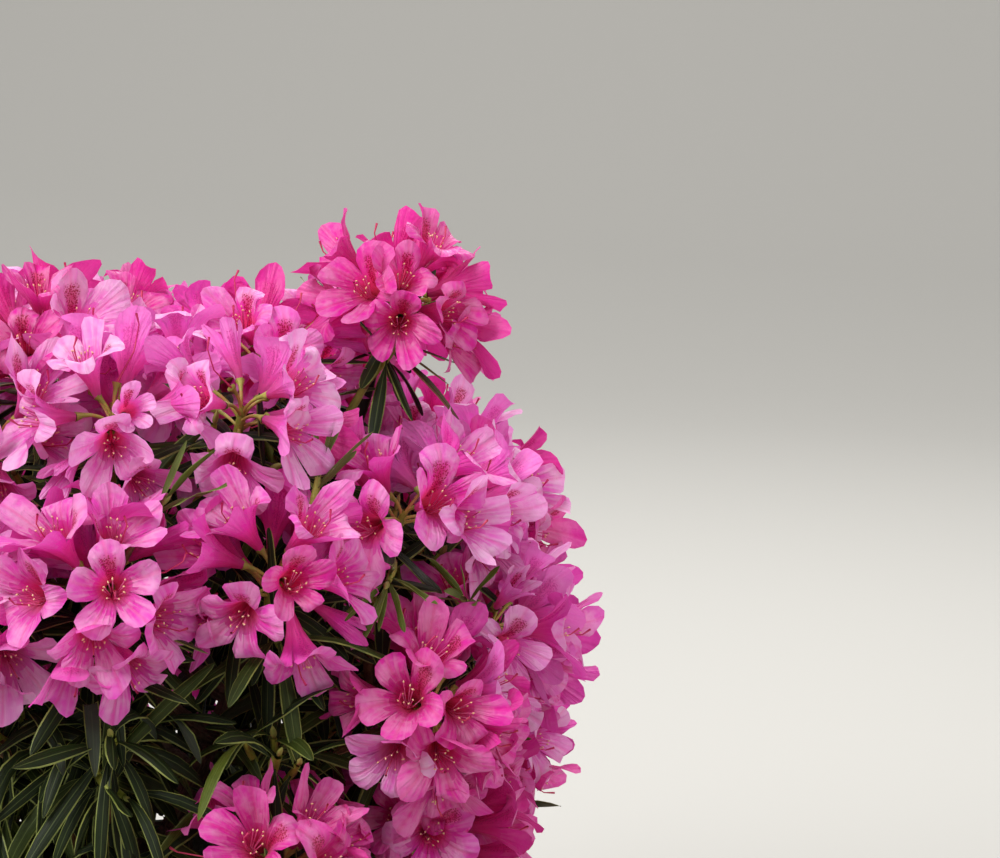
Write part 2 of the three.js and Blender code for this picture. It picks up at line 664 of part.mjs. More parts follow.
for (const mass of all) {
  const twigs = mass.twigs.map((twig) => solidOf(surface(twig.points, twig.faces)));
  const colour = mass.shoots.some((shoot) => shoot.blooms) ? COLOURS.bloom : COLOURS.leaf;
  const solid = wholePiece(wasm.Manifold.union([mass.stem, ...twigs]));
  plant.add(named("mass_" + mass.name, geometryOf(solid), colour));
}

export default plant;
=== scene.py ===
# %% [markdown]
# # A potted rhododendron in full bloom
#
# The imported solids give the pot, the soil, the stem with its boughs, and one mass of twigs, leaves and
# flowers at the end of each bough. This lesson dresses them. It grows the crown again by the rule that
# made the solids, and carries it on to single flowers, stamens, leaves and fine twigs.
#
# Everything is in metres, +Z up, and the shrub's front faces -Y.

import math

import bpy
import numpy as np
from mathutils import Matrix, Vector, noise


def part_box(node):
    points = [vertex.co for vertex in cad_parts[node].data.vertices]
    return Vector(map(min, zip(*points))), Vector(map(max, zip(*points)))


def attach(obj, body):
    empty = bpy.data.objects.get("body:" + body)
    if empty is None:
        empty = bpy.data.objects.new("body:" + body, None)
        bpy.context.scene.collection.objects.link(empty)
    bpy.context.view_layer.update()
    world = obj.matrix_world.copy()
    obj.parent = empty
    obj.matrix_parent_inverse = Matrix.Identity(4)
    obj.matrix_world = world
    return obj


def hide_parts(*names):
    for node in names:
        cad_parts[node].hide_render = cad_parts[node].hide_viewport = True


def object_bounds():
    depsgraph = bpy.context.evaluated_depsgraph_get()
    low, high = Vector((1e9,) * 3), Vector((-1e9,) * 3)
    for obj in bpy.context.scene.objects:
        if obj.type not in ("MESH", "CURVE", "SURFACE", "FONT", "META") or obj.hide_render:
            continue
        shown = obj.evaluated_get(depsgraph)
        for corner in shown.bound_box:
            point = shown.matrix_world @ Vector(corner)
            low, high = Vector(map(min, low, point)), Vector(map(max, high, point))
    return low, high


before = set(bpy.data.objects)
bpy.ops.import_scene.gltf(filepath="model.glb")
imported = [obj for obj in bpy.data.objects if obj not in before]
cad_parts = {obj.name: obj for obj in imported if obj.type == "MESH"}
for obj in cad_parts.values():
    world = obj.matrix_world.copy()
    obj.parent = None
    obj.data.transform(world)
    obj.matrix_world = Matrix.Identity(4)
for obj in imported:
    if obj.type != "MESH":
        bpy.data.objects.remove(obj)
cad_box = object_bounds()
print("the solids' box:", [round(x, 3) for corner in cad_box for x in corner])

# %% [markdown]
# ## The camera
#
# The camera stands where the photographer stood: about 1.2 m from the heads that show, a little higher
# than the top of the crown, and looking down a little. A long lens lets the shrub fill the frame from
# there. It fills the lower left corner and runs out of it, as in the photograph, so the lens points at a
# place to the right of the crown's middle.

# %% Camera
PHOTO_WIDTH = 1000
PIXELS_PER_METRE = 1830.0  # at the depth where most of the heads that show are
LENS = 80.0
SENSOR = 36.0
NEAREST = 0.05  # the camera shows nothing closer than this
LOOK_DOWN = math.radians(11)
AIM = Vector((0.204, -0.06, 0.567))

distance = LENS / SENSOR * PHOTO_WIDTH / PIXELS_PER_METRE
camera_data = bpy.data.cameras.new("Camera")
camera_data.lens = LENS
camera_data.sensor_width = SENSOR
camera_data.clip_start = NEAREST
camera = bpy.data.objects.new("Camera", camera_data)
camera.location = AIM + distance * Vector((0, -math.cos(LOOK_DOWN), math.sin(LOOK_DOWN)))
camera.rotation_euler = (math.radians(90) - LOOK_DOWN, 0, 0)
bpy.context.scene.collection.objects.link(camera)
bpy.context.scene.camera = camera
bpy.context.scene.view_settings.view_transform = "Standard"
print("camera", [round(x, 3) for x in camera.location], "distance", round(distance, 3))

# %% [markdown]
# ## Meshes from arrays
#
# A crown has thousands of leaves and hundreds of flowers. Adding them one by one through Blender's
# operators takes minutes, so every kind is worked out as one array of points and one array of faces, and
# the mesh is filled in a single step. A *chunk* below is the points of many like things, their faces, a
# material number for each face, and marks: numbers kept at each point, such as how far along a petal it
# lies, that a material can read.

# %% Chunks
def chunk(points, faces, slots=0, **marks):
    """Many like things as one block: points, faces, a slot for each face and the marks at each point."""
    points = np.asarray(points, float)
    flat = points.reshape(-1, 3)
    faces = np.asarray(faces).reshape(-1, faces.shape[-1])
    slots = np.broadcast_to(slots, len(faces)).copy()
    spread = {name: np.broadcast_to(value, points.shape[:-1]).reshape(-1) for name, value in marks.items()}
    return {"points": flat, "faces": faces, "slots": slots, "marks": spread}


def grid_faces(count, rows, columns, closed):
    """Faces of many grids of rows by columns points. In a closed one the last column joins the first."""
    row, column = np.meshgrid(np.arange(rows - 1), np.arange(columns - (not closed)), indexing="ij")
    after = (column + 1) % columns
    one = np.stack([row * columns + column, row * columns + after, (row + 1) * columns + after,
                    (row + 1) * columns + column], axis=-1).reshape(-1, 4)
    return one[None] + (np.arange(count) * rows * columns)[:, None, None]


# %% Pieces
def piece(name, chunks, materials, nodes):
    """Makes one object from its chunks. It rides on the root body and replaces the named nodes."""
    marks = sorted({mark for part in chunks for mark in part["marks"]})
    sizes = np.array([len(part["points"]) for part in chunks])
    starts = np.concatenate([[0], np.cumsum(sizes)[:-1]])
    points = np.concatenate([part["points"] for part in chunks])
    corners = np.concatenate([(part["faces"] + start).reshape(-1) for part, start in zip(chunks, starts)])
    lengths = np.concatenate([np.full(len(part["faces"]), part["faces"].shape[1]) for part in chunks])
    loop_starts = np.concatenate([[0], np.cumsum(lengths)[:-1]])
    face_slots = np.concatenate([part["slots"] for part in chunks])
    mesh = bpy.data.meshes.new(name)
    mesh.vertices.add(len(points))
    mesh.vertices.foreach_set("co", points.astype(np.float32).reshape(-1))
    mesh.loops.add(len(corners))
    mesh.loops.foreach_set("vertex_index", corners.astype(np.int32))
    mesh.polygons.add(len(lengths))
    mesh.polygons.foreach_set("loop_start", loop_starts.astype(np.int32))
    mesh.polygons.foreach_set("material_index", face_slots.astype(np.int32))
    mesh.polygons.foreach_set("use_smooth", np.ones(len(lengths), bool))
    mesh.update(calc_edges=True)
    for mark in marks:
        values = [part["marks"].get(mark, np.zeros(size)) for part, size in zip(chunks, sizes)]
        made = mesh.attributes.new(mark, "FLOAT", "POINT")
        made.data.foreach_set("value", np.concatenate(values).astype(np.float32))
    for material in materials:
        mesh.materials.append(material)
    made = bpy.data.objects.new(name, mesh)
    bpy.context.scene.collection.objects.link(made)
    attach(made, "root")
    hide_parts(*nodes)
    print(f"{name}: {int((lengths - 2).sum())} triangles")


# %% [markdown]
# Twigs, stalks, stamens and buds are all round limbs. Blender's own curves with a bevel could draw them,
# but they would have to be turned into meshes one by one, so the next cells sweep a ring along each line
# in one go.

# %% Directions and round limbs
def unit(vectors):
    """Vectors of the same directions and of length one."""
    return vectors / np.linalg.norm(vectors, axis=-1, keepdims=True)


def across_of(directions, guide):
    """Unit vectors square to some directions and as near as can be to a guide."""
    return unit(guide - (guide * directions).sum(-1, keepdims=True) * directions)


def tubes(centres, radii, sides, slots=0):
    """A chunk of round limbs with open ends: centres is (tubes, rings, 3) and radii (tubes, rings)."""
    along = unit(np.gradient(centres, axis=1))
    start = unit(centres[:, -1] - centres[:, 0])
    guide = np.where(np.abs(start[:, 2:]) > 0.8, [[1.0, 0, 0]], [[0, 0, 1.0]])
    first = across_of(along, np.broadcast_to(guide[:, None], along.shape))
    second = np.cross(along, first)
    turn = np.linspace(0, 2 * np.pi, sides, endpoint=False)
    around = first[:, :, None] * np.cos(turn)[:, None] + second[:, :, None] * np.sin(turn)[:, None]
    points = centres[:, :, None] + radii[:, :, None, None] * around
    return chunk(points, grid_faces(len(centres), centres.shape[1], sides, True), slots)


# %% [markdown]
# ## The rule that the crown grows by
#
# The solids were grown by a seeded rule, and the looks have to sit in the same places, so the rule is
# written here again, number by number: the crown's outline, the three tiers of boughs, the rows of
# shoots, and the line that each twig takes. Random numbers come from a small hash of two whole numbers,
# so both programs draw the same ones.
#
# The outline is a dome with fuller shoulders than a ball's, swollen or sunk in eight places. In the order
# of the list SWELLS they are the tallest heads, the fullest side, a lower hump, the dip between the two,
# the notch under the tallest heads, the place where the skirt is tucked in, the place where its leaves
# hang fullest, and a hollow where leaves show between the heads.

# %% Sizes of the crown
SOIL_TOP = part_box("soil")[1].z
STEM_HEIGHT = 0.066
STEM_FOOT = np.array([-0.008, 0.006, SOIL_TOP])
FORK = np.array([0.004, -0.003, SOIL_TOP + STEM_HEIGHT])
UP = np.array([0, 0, 1.0])

CROWN_RADIUS = 0.258
CROWN_RISE = 0.360  # from the fork up to the plain dome's top
CROWN_DROP = 0.074  # and down to the rim of the skirt
DOME_ROUNDNESS = 2.35  # 2 would be a ball's, and more gives fuller shoulders
SWELLS = [  # azimuth, elevation, rise and spread
    (8, 63, 0.185, 12),
    (-18, 35, 0.05, 20),
    (172, 72, 0.06, 13),
    (60, 88, -0.17, 12),
    (-5, 50, -0.06, 9),
    (-12, 0, -0.34, 22),
    (-108, 9, 0.02, 14),
    (-23, 61, -0.1, 8),
]
print("the fork is", round(float(FORK[2]), 3), "m up")


# %% Directions and outline
def chance(a, b):
    """A repeatable fraction from 0 to 1 for two whole numbers."""
    h = (((a + 1) * 73856093) ^ ((b + 1) * 19349663)) & 0xFFFFFFFF
    h = ((h ^ (h >> 13)) * 1274126177) & 0xFFFFFFFF
    h ^= h >> 16
    return h / 4294967296


def mix(a, b, share):
    """The value that lies a share of the way from a to b."""
    return a + (b - a) * share


def heading(azimuth, elevation):
    """The unit direction of an azimuth and an elevation in degrees."""
    a, e = math.radians(azimuth), math.radians(elevation)
    return np.array([math.cos(a) * math.cos(e), math.sin(a) * math.cos(e), math.sin(e)])


def dome_reach(direction):
    """How far the plain dome lies from the fork in a direction."""
    across = math.hypot(direction[0], direction[1]) / CROWN_RADIUS
    up = abs(direction[2]) / (CROWN_RISE if direction[2] > 0 else CROWN_DROP)
    return (across**DOME_ROUNDNESS + up**DOME_ROUNDNESS) ** (-1 / DOME_ROUNDNESS)


def crown_reach(direction):
    """The same for the crown, with its swells and hollows."""
    swell = 0
    for azimuth, elevation, rise, spread in SWELLS:
        swell += rise * math.exp(-((away_from(direction, azimuth, elevation) / spread) ** 2))
    return dome_reach(direction) * (1 + swell)


def away_from(direction, azimuth, elevation):
    """The angle in degrees between a direction and a heading."""
    return math.degrees(math.acos(np.clip(direction @ heading(azimuth, elevation), -1, 1)))


print("the crown reaches", round(crown_reach(UP), 3), "m over the fork")

# %% [markdown]
# A limb's line is a curve with one bend. Places on it are asked for by share of its length, not by the
# curve's own parameter, so the class below measures the curve once and looks places up.

# %% A limb's line
class Line:
    """A curve from start to end that leans towards bend, asked for by share of its length."""

    DIVISIONS = 200

    def __init__(self, start, bend, end):
        self.ends = [np.asarray(p, float) for p in (start, bend, end)]
        self.shares = np.linspace(0, 1, self.DIVISIONS + 1)
        steps = np.linalg.norm(np.diff(self.places(self.shares), axis=0), axis=1)
        self.lengths = np.concatenate([[0], np.cumsum(steps)])
        self.length = self.lengths[-1]

    def places(self, t):
        """Places at values of the curve's own parameter."""
        t = np.asarray(t)[..., None]
        start, bend, end = self.ends
        return (1 - t) ** 2 * start + 2 * t * (1 - t) * bend + t**2 * end

    def at(self, share):
        """Places at shares of its length."""
        return self.places(np.interp(np.asarray(share) * self.length, self.lengths, self.shares))

    def tangent(self, share):
        """The unit directions that it runs in there."""
        t = np.interp(np.asarray(share) * self.length, self.lengths, self.shares)[..., None]
        start, bend, end = self.ends
        return unit((1 - t) * (bend - start) + t * (end - bend))


# %% [markdown]
# Each bough ends in a mass: a stem of its own, and the twigs that fork from it. The middle boughs and the
# leader leave the stem's fork, a lower one leaves the nearest middle one, and the other top ones leave
# the leader.

# %% Masses and their boughs
TIERS = [  # name, elevation, number of boughs, first azimuth and radius at a bough's foot
    ("middle", 39, 4, -22, 0.007),
    ("top", 69, 3, 5, 0.0064),
    ("lower", 9, 5, -36, 0.0054),
]
LOWER_FORK_SHARE = [0.36, 0.56]  # where a lower bough leaves its middle one, in turns
TOP_FORK_SHARE = [0.4, 0.55]
BOUGH_SHARE = 0.46  # how far a bough reaches, of the way to the crown's outline
LOW_BOW = (15, 0.2)  # elevation, and the share of its length that a bough bows up by
HIGH_BOW = (60, -0.16)


def masses():
    """Every mass with its bough's line, its foot radius and, to be filled, its shoots."""
    found = []
    for tier, elevation, count, first, foot in TIERS:
        for i in range(count):
            direction = heading(first + 360 * i / count, elevation)
            source, share = None, 0
            if tier == "lower":
                middles = [m for m in found if m["name"].startswith("middle")]
                source = max(middles, key=lambda m: m["direction"] @ direction)
                share = LOWER_FORK_SHARE[i % 2]
            if tier == "top" and i > 0:
                source = next(m for m in found if m["name"] == "top_1")
                share = TOP_FORK_SHARE[i % 2]
            start = source["line"].at(share) if source else FORK
            line = bough_line(start, direction, elevation)
            name = f"{tier}_{i + 1}"
            found.append({"name": name, "direction": direction, "foot": foot, "line": line, "shoots": []})
    return found


def bough_line(start, direction, elevation):
    """A bough's line. A low bough rises over its straight line, and a steep one hangs under it."""
    end = FORK + direction * crown_reach(direction) * BOUGH_SHARE
    steep = np.clip((elevation - LOW_BOW[0]) / (HIGH_BOW[0] - LOW_BOW[0]), 0, 1)
    bow = mix(LOW_BOW[1], HIGH_BOW[1], steep * steep * (3 - 2 * steep))
    bend = (start + end) / 2 + UP * bow * np.linalg.norm(end - start)
    return Line(start, bend, end)


# %% [markdown]
# Shoots stand in rows round the crown, in an outer layer and an inner one. Those of the outer layer
# flower above an edge that is high in front, where the skirt is, and low elsewhere. A hollow near the top
# has leaves only, and one shoot in the skirt flowers all the same.

# %% Shoots
LAYERS = [(1, -4, 0.074, False), (0.68, 2, 0.100, True)]  # reach, lowest row, spacing, leafy
ROW_SHARE = 0.92  # how close the rows are, of the shoots' spacing
ROW_TURN = 11
SHOOT_SCATTER = 8
SHOOT_PULL = 0.03  # how far a shoot leans towards the middle of its mass
SWELL_SCATTER = 0.07
HEAD_REACH = 0.050  # from a twig's end out to the crown's outline
SHOOT_LIFT = 0.3
BLOOM_EDGE = 8  # the lowest elevation that flowers, higher by the next value on the leafy side
LEAFY_RISE = 36
LEAFY_SIDE = -100
LEAFY_SPREAD = 48
LEAFY_SPOT = (-23, 61, 7)  # azimuth, elevation and width of the hollow that has no bloom
SHELTERED_SPOT = (-66, 16, 6)  # and of the place in the skirt where a shoot flowers all the same


def bloom_edge(azimuth):
    """The lowest elevation at which a shoot still flowers."""
    away = abs(((azimuth - LEAFY_SIDE + 540) % 360) - 180)
    return BLOOM_EDGE + LEAFY_RISE * math.exp(-((away / LEAFY_SPREAD) ** 4))


def share_out_shoots(found):
    """The shoots, in rows round the crown, each given to the mass that it lies nearest to."""
    number = 0
    for reach, lowest, spacing, leafy in LAYERS:
        elevation, row = lowest, 0
        while elevation < 90:
            out = reach * dome_reach(heading(0, elevation)) - HEAD_REACH
            row_length = 2 * math.pi * out * math.cos(math.radians(elevation))
            count = max(1, math.floor(row_length / spacing + 0.5))
            for i in range(count):
                azimuth = 360 * i / count + ROW_TURN * row + SHOOT_SCATTER * (chance(number, 1) - 0.5)
                direction = heading(azimuth, elevation + SHOOT_SCATTER * (chance(number, 2) - 0.5))
                mass = max(found, key=lambda m: m["direction"] @ direction)
                direction = unit(mix(direction, mass["direction"], SHOOT_PULL))
                length = reach * (1 + SWELL_SCATTER * (chance(number, 3) - 0.5))
                in_spot = away_from(direction, *LEAFY_SPOT[:2]) < LEAFY_SPOT[2]
                sheltered = away_from(direction, *SHELTERED_SPOT[:2]) < SHELTERED_SPOT[2]
                mass["shoots"].append({
                    "end": FORK + direction * (crown_reach(direction) * length - HEAD_REACH),
                    "axis": unit(direction + UP * SHOOT_LIFT),
                    "blooms": not leafy and not in_spot and (sheltered or elevation > bloom_edge(azimuth)),
                    "inner": leafy,
                    "sheltered": sheltered,
                    "turn": math.radians(360 * chance(number, 4)),
                })
                number += 1
            elevation += math.degrees(spacing / out) * ROW_SHARE
            row += 1


# %% The lines of all twigs
GAP = 0.0003  # between a bough's tip and the foot of its mass
HUB_SHARE = 0.6  # how far a mass's stem reaches, of the way to the outline
STEM_BEND = 0.5
TWIGS_LEAVE = [0.96, 0.6]  # where the first and last twig leave that stem
TWIG_BEND = 0.4

all_masses = masses()
share_out_shoots(all_masses)
for mass in all_masses:
    along = mass["line"].tangent(1.0)
    foot = mass["line"].at(1.0) + along * GAP
    hub = FORK + mass["direction"] * crown_reach(mass["direction"]) * HUB_SHARE
    mass["stem"] = Line(foot, foot + along * np.linalg.norm(hub - foot) * STEM_BEND, hub)
    for k, shoot in enumerate(mass["shoots"]):
        leaving = mass["stem"].at(mix(*TWIGS_LEAVE, k / len(mass["shoots"])))
        before = shoot["end"] - shoot["axis"] * TWIG_BEND * np.linalg.norm(shoot["end"] - leaving)
        shoot["line"] = Line(leaving, before, shoot["end"])
shoots = [shoot for mass in all_masses for shoot in mass["shoots"]]
blooming = [shoot for shoot in shoots if shoot["blooms"]]
leafy_shoots = [shoot for shoot in shoots if not shoot["blooms"]]
mass_nodes = ["mass_" + mass["name"] for mass in all_masses]
print(len(shoots), "shoots,", len(blooming), "of them in bloom")

# %% [markdown]
# ## Young leaves between the heads
#
# Where three heads leave a little room between them, next year's growth shows: a tuft of narrow young
# leaves, light green, on a short green twig. The widest of these places are looked up among all threes of
# neighbouring heads. They are found first, because the flowers round a tuft make way for it.

# %% Tufts of young leaves
TUFTS = 18
TUFT_NEAR = 0.118  # heads further apart than this leave the room to leaves
TUFT_APART = 0.05
TUFT_FROM = 0.72  # where a tuft's twig leaves the nearest head's twig, of its length
TUFT_BEND = 0.5
TUFT_RISE = 0.024  # from the heads' twig ends out to the tuft's foot
TUFT_HEIGHT = 0.016  # from its foot to the middle of its leaves
TUFT_ROOM = 0.020  # no flower's mouth is nearer than this to that middle


def tuft_places(ends):
    """The widest places between three neighbouring heads, each with the nearest of them."""
    apart = np.linalg.norm(ends[:, None] - ends[None], axis=-1)
    found = []
    for a in range(len(ends)):
        near = [b for b in range(a + 1, len(ends)) if apart[a, b] < TUFT_NEAR]
        for b in near:
            for c in near:
                if c > b and apart[b, c] < TUFT_NEAR:
                    middle = ends[[a, b, c]].mean(axis=0)
                    others = np.linalg.norm(ends - middle, axis=1)
                    found.append((others.min(), middle, int(others.argmin())))
    found.sort(key=lambda place: -place[0])
    kept_places = []
    for _, middle, head in found:
        if all(np.linalg.norm(middle - other) > TUFT_APART for other, _ in kept_places):
            kept_places.append((middle, head))
    return kept_places[:TUFTS]


blooming_ends = np.array([head["end"] for head in blooming])
tufts = []
tuft_middles = []
for middle, head in tuft_places(blooming_ends):
    outward = unit(middle - FORK)
    start = blooming[head]["line"].at(TUFT_FROM)
    end = middle + outward * TUFT_RISE
    tufts.append(Line(start, start + outward * TUFT_BEND * np.linalg.norm(end - start), end))
    tuft_middles.append(end + outward * TUFT_HEIGHT)
print(len(tufts), "tufts of young leaves")

# %% [markdown]
# ## Flower heads
#
# A rhododendron's flower head is a dome of a dozen funnels. Each stands on its own stalk, and all the
# stalks spring from a short axis at the shoot's end. Their directions follow the golden angle round that
# axis, which spaces them evenly with no two in line, as buds are set in nature. Where two heads press
# together the real flowers turn aside, so a flower that would open inside its neighbour's dome is left
# out.

# %% Where each flower stands
GOLDEN_TURN = math.radians(137.508)
FLOWERS_PER_HEAD = (13, 16)
NEIGHBOUR_REACH = 0.105
FULL_ROUND = 5  # a head with fewer neighbours than this has room for more flowers
HEAD_SPREAD = math.radians(104)  # from the head's axis to its lowest flowers
STALK_LENGTH = (0.019, 0.026)
MOUTH_FROM_STALK = 0.026
HEAD_OVERLAP = 0.011  # how much nearer a mouth may be to a neighbour's twig end than to its own
NODDING = 0.16
OUT_SCATTER = 0.07
FACING_SCATTER = 0.15
HOLLOW_EDGE = 1  # degrees by which flowers may lean into the leafy hollow
FIRST_STALK = 0.006  # how far beyond the twig's end the topmost stalk leaves the head's axis
STALKS_DEPTH = 0.014  # and how far back from there the last one does
ANY_TURN = (0, 6.3)  # radians, all the way round

rng = np.random.default_rng(23)


def tilted(axis, tilt, turn):
    """A direction at a tilt from an axis, at a turn round it."""
    guide = np.array([1.0, 0, 0]) if abs(axis[2]) > 0.9 else UP
    rising = across_of(axis, guide)
    level = np.cross(axis, rising)
    return axis * math.cos(tilt) + (rising * math.cos(turn) + level * math.sin(turn)) * math.sin(tilt)


def flowers_of(head, others):
    """The flowers of one head: where each stalk starts, where its flower sits, and which way it faces."""
    made = []
    near = (np.linalg.norm(others - head["end"], axis=1) < NEIGHBOUR_REACH).sum()
    count = rng.integers(*FLOWERS_PER_HEAD, endpoint=True) + max(0, FULL_ROUND - near)
    for i in range(count):
        tilt = math.acos(1 - (i + 0.5) / count * (1 - math.cos(HEAD_SPREAD)))
        out = tilted(head["axis"], tilt, head["turn"] + GOLDEN_TURN * i)
        out = unit(out + rng.normal(0, OUT_SCATTER, 3))
        stalk = rng.uniform(*STALK_LENGTH)
        foot = head["end"] + out * stalk
        mouth = foot + out * MOUTH_FROM_STALK
        own = np.linalg.norm(mouth - head["end"])
        if (np.linalg.norm(others - mouth, axis=1) < own - HEAD_OVERLAP).any():
            continue
        if away_from(unit(mouth - FORK), *LEAFY_SPOT[:2]) < LEAFY_SPOT[2] - HOLLOW_EDGE:
            continue
        if (np.linalg.norm(np.array(tuft_middles) - mouth, axis=1) < TUFT_ROOM).any():
            continue
        start = head["end"] + head["axis"] * (FIRST_STALK - STALKS_DEPTH * i / count)
        facing = unit(out - UP * NODDING + rng.normal(0, FACING_SCATTER, 3))
        made.append({"start": start, "out": out, "foot": foot, "facing": facing, "head": head})
    return made


# %% All flowers of all heads
UPPER_LIFT = 0.35  # how much a flower's upper lobe turns up, rather than to the head's axis
UPPER_SCATTER = 0.05

flowers = []
for index, head in enumerate(blooming):
    flowers += flowers_of(head, np.delete(blooming_ends, index, axis=0))
flower_feet = np.array([f["foot"] for f in flowers])
facing = np.array([f["facing"] for f in flowers])
head_axes = np.array([f["head"]["axis"] for f in flowers])
upper = across_of(facing, head_axes + UPPER_LIFT * UP + rng.normal(0, UPPER_SCATTER, facing.shape))
print(len(flowers), "flowers,", round(len(flowers) / len(blooming), 1), "to a head")

# %% [markdown]
# ## One flower
#
# The flower is a funnel that parts into five lobes about halfway up. It is drawn as one sheet: columns of
# points run from the tube's foot to the rim, ten to a lobe. How far a column runs depends on where in its
# lobe it lies, which rounds the lobe and cuts the notch beside it. The funnel's radius and height are
# smooth functions of the way along, and every lobe of every flower is then bent, rolled and ruffled by
# its own random amounts.

# %% Sizes of a funnel
LOBES = 5
LOBE_COLUMNS = np.array([-1, -0.92, -0.74, -0.52, -0.26, 0, 0.26, 0.52, 0.74, 0.92])
ROW_SHARES = np.array([0, 0.2, 0.37, 0.51, 0.63, 0.74, 0.84, 0.93, 1.0])
FLOWER_ROWS = len(ROW_SHARES)
NOTCH = 0.51  # where the notch between two lobes lies, of the way from foot to tip
LOBE_ROUNDNESS = (3.0, 0.66)  # the powers that shape a lobe's rim from its middle to the notch
TUBE_RADIUS = 0.0021
THROAT_WIDENING = 0.0055
FLOWER_RADIUS = 0.0264
FLOWER_HEIGHT = 0.030
FLARING = 1.9  # the higher, the later the funnel flares
FLATTENING = 1.65  # and the flatter its mouth
CLOSED_HEIGHT = 0.011  # a flower that is still closed is this much longer
LOBE_RANGES = {  # how single lobes differ, in metres where nothing else is said
    "narrowing": (-0.14, 0.06),  # a share of the lobe's width
    "lean": (-0.16, 0.16),  # radians round the flower
    "bend": (-0.010, 0.013),  # of the tip, back or forward
    "spreading": (-0.0022, 0.0022),
    "roll": (-0.0036, 0.0050),  # of both margins
    "ruffle": (0.0016, 0.0044),  # along the margins
    "tip ruffle": (0.0012, 0.0036),
    "crinkle": (0.0002, 0.0012),  # in and out of the blade
    "dent": (-0.0012, 0.0009),  # in the tip's middle
    "twist": (-0.0042, 0.0042),
    "crease": (0.0006, 0.0017),  # down the lobe's middle
    "phase": ANY_TURN,
}

RUFFLE_WAVES = (12, 2.4)  # radians along a margin, and between the lobe's middle and a margin
TIP_WAVES = 4
CRINKLE_WAVES = (3, 7)  # across and along

LOBE_ANGLE = 360 / LOBES
BEND_DRAWS_IN = 0.3
LOBE_MIDDLE = 0.3  # of half a lobe's width
UPPER_FULLER = 0.05  # the upper side is wider than the lower by twice this share
TUBE_CURVE = -0.0022  # how far the mouth hangs below the line of the tube

column_lobe = np.repeat(np.arange(LOBES), len(LOBE_COLUMNS))
column_across = np.tile(LOBE_COLUMNS, LOBES)
rim_at = NOTCH + (1 - NOTCH) * (1 - np.abs(column_across) ** LOBE_ROUNDNESS[0]) ** LOBE_ROUNDNESS[1]
print("a funnel has", FLOWER_ROWS * len(column_lobe), "points")


# %% Funnels with five lobes
def funnels(foot, facing, upper, size, openness):
    """Points (flowers, rows, columns, 3) of corollas, and how far along and across its lobe each lies."""
    count = len(foot)

    def lobes(name):
        """A random amount for each lobe of each flower, at the lobe's columns."""
        return rng.uniform(*LOBE_RANGES[name], (count, LOBES))[:, None, column_lobe]

    side = np.cross(upper, facing)
    along = ROW_SHARES[:, None] * rim_at
    free = np.clip((along - NOTCH) / (1 - NOTCH), 0, 1)
    across = np.broadcast_to(column_across, along.shape)
    half_angle = LOBE_ANGLE / 2
    turn = np.radians(LOBE_ANGLE * column_lobe + half_angle * across * (1 - lobes("narrowing") * free))
    turn = turn + free * lobes("lean")
    opened = openness[:, None, None]
    flare = (FLOWER_RADIUS - TUBE_RADIUS - THROAT_WIDENING) * along**FLARING * opened
    radius = TUBE_RADIUS + THROAT_WIDENING * along + flare
    height = FLOWER_HEIGHT * (1 - (1 - along) ** FLATTENING) + CLOSED_HEIGHT * (1 - opened) * free
    bend = lobes("bend") * opened
    height = height - bend * free**2
    radius = radius - BEND_DRAWS_IN * np.abs(bend) * free**2 + lobes("spreading") * free
    roll = lobes("roll")
    height = height - roll * across**2 * free
    margin = lobes("ruffle") * np.abs(across) ** 2
    margin = margin * np.sin(lobes("phase") + RUFFLE_WAVES[0] * along + RUFFLE_WAVES[1] * np.sign(across))
    tip = lobes("tip ruffle") * ROW_SHARES[:, None] ** 4 * np.sin(lobes("phase") + TIP_WAVES * across)
    height = height + free**0.5 * (margin + tip)
    crinkle = lobes("crinkle")
    crinkle_at = lobes("phase") + CRINKLE_WAVES[0] * across + CRINKLE_WAVES[1] * along
    radius = radius + free * crinkle * np.sin(crinkle_at)
    middle = np.exp(-((across / LOBE_MIDDLE) ** 2))
    radius = radius - lobes("dent") * middle * ROW_SHARES[:, None] ** 6
    height = height + lobes("twist") * across * free
    crease = lobes("crease") * middle * np.sin(np.pi * along**0.8)
    height = height - crease
    radius = radius * (1 + UPPER_FULLER * np.cos(turn))
    drop = TUBE_CURVE * (height / FLOWER_HEIGHT) ** 2
    foot, side, upper, facing = (v[:, None, None] for v in (foot, side, upper, facing))
    place = side * (radius * np.sin(turn))[..., None] + upper * (radius * np.cos(turn) + drop)[..., None]
    place = foot + size[:, None, None, None] * (place + facing * height[..., None])
    return place, along, across


# %% [markdown]
# Most flowers are open. A few are still half closed, and a few have dropped and left their stalk and
# style behind.

# %% Dealing out ages
HALF_OPEN_SHARE = 0.07
SPENT_SHARE = 0.035
OPENNESS = (0.7, 1.08)
HALF_OPENNESS = (0.22, 0.5)
SIZE_RANGE = (0.90, 1.10)
HALF_OPEN_SIZE = 0.86

flower_count = len(flowers)
age = rng.random(flower_count)
spent = age < SPENT_SHARE
half_open = (age > SPENT_SHARE) & (age < SPENT_SHARE + HALF_OPEN_SHARE)
half_openness = rng.uniform(*HALF_OPENNESS, flower_count)
openness = np.where(half_open, half_openness, rng.uniform(*OPENNESS, flower_count))
flower_size = rng.uniform(*SIZE_RANGE, flower_count)
flower_size[half_open] *= HALF_OPEN_SIZE
print(int(half_open.sum()), "flowers half open,", int(spent.sum()), "spent")

# %% [markdown]
# A whole head shares one tint, apart from a stray flower here and there. Pale heads are commoner high up
# and deep ones low down, a painted light and shade: the pale tint stands for sunlit heads and the deep
# one for shaded ones, with a random scatter of tone on top. The tallest heads opened last, so they are
# still deep. The head in the shade of the leaves gets the deep tint as painted shade.

# %% Dealing out tints
PALE, ROSE, DEEP = range(3)
PALE_SHARE = 0.34
DEEP_SHARE = 0.26
FRESH_HEADS = 2
TINT_SCATTER = 0.2
STRAY_SHARE = 0.14
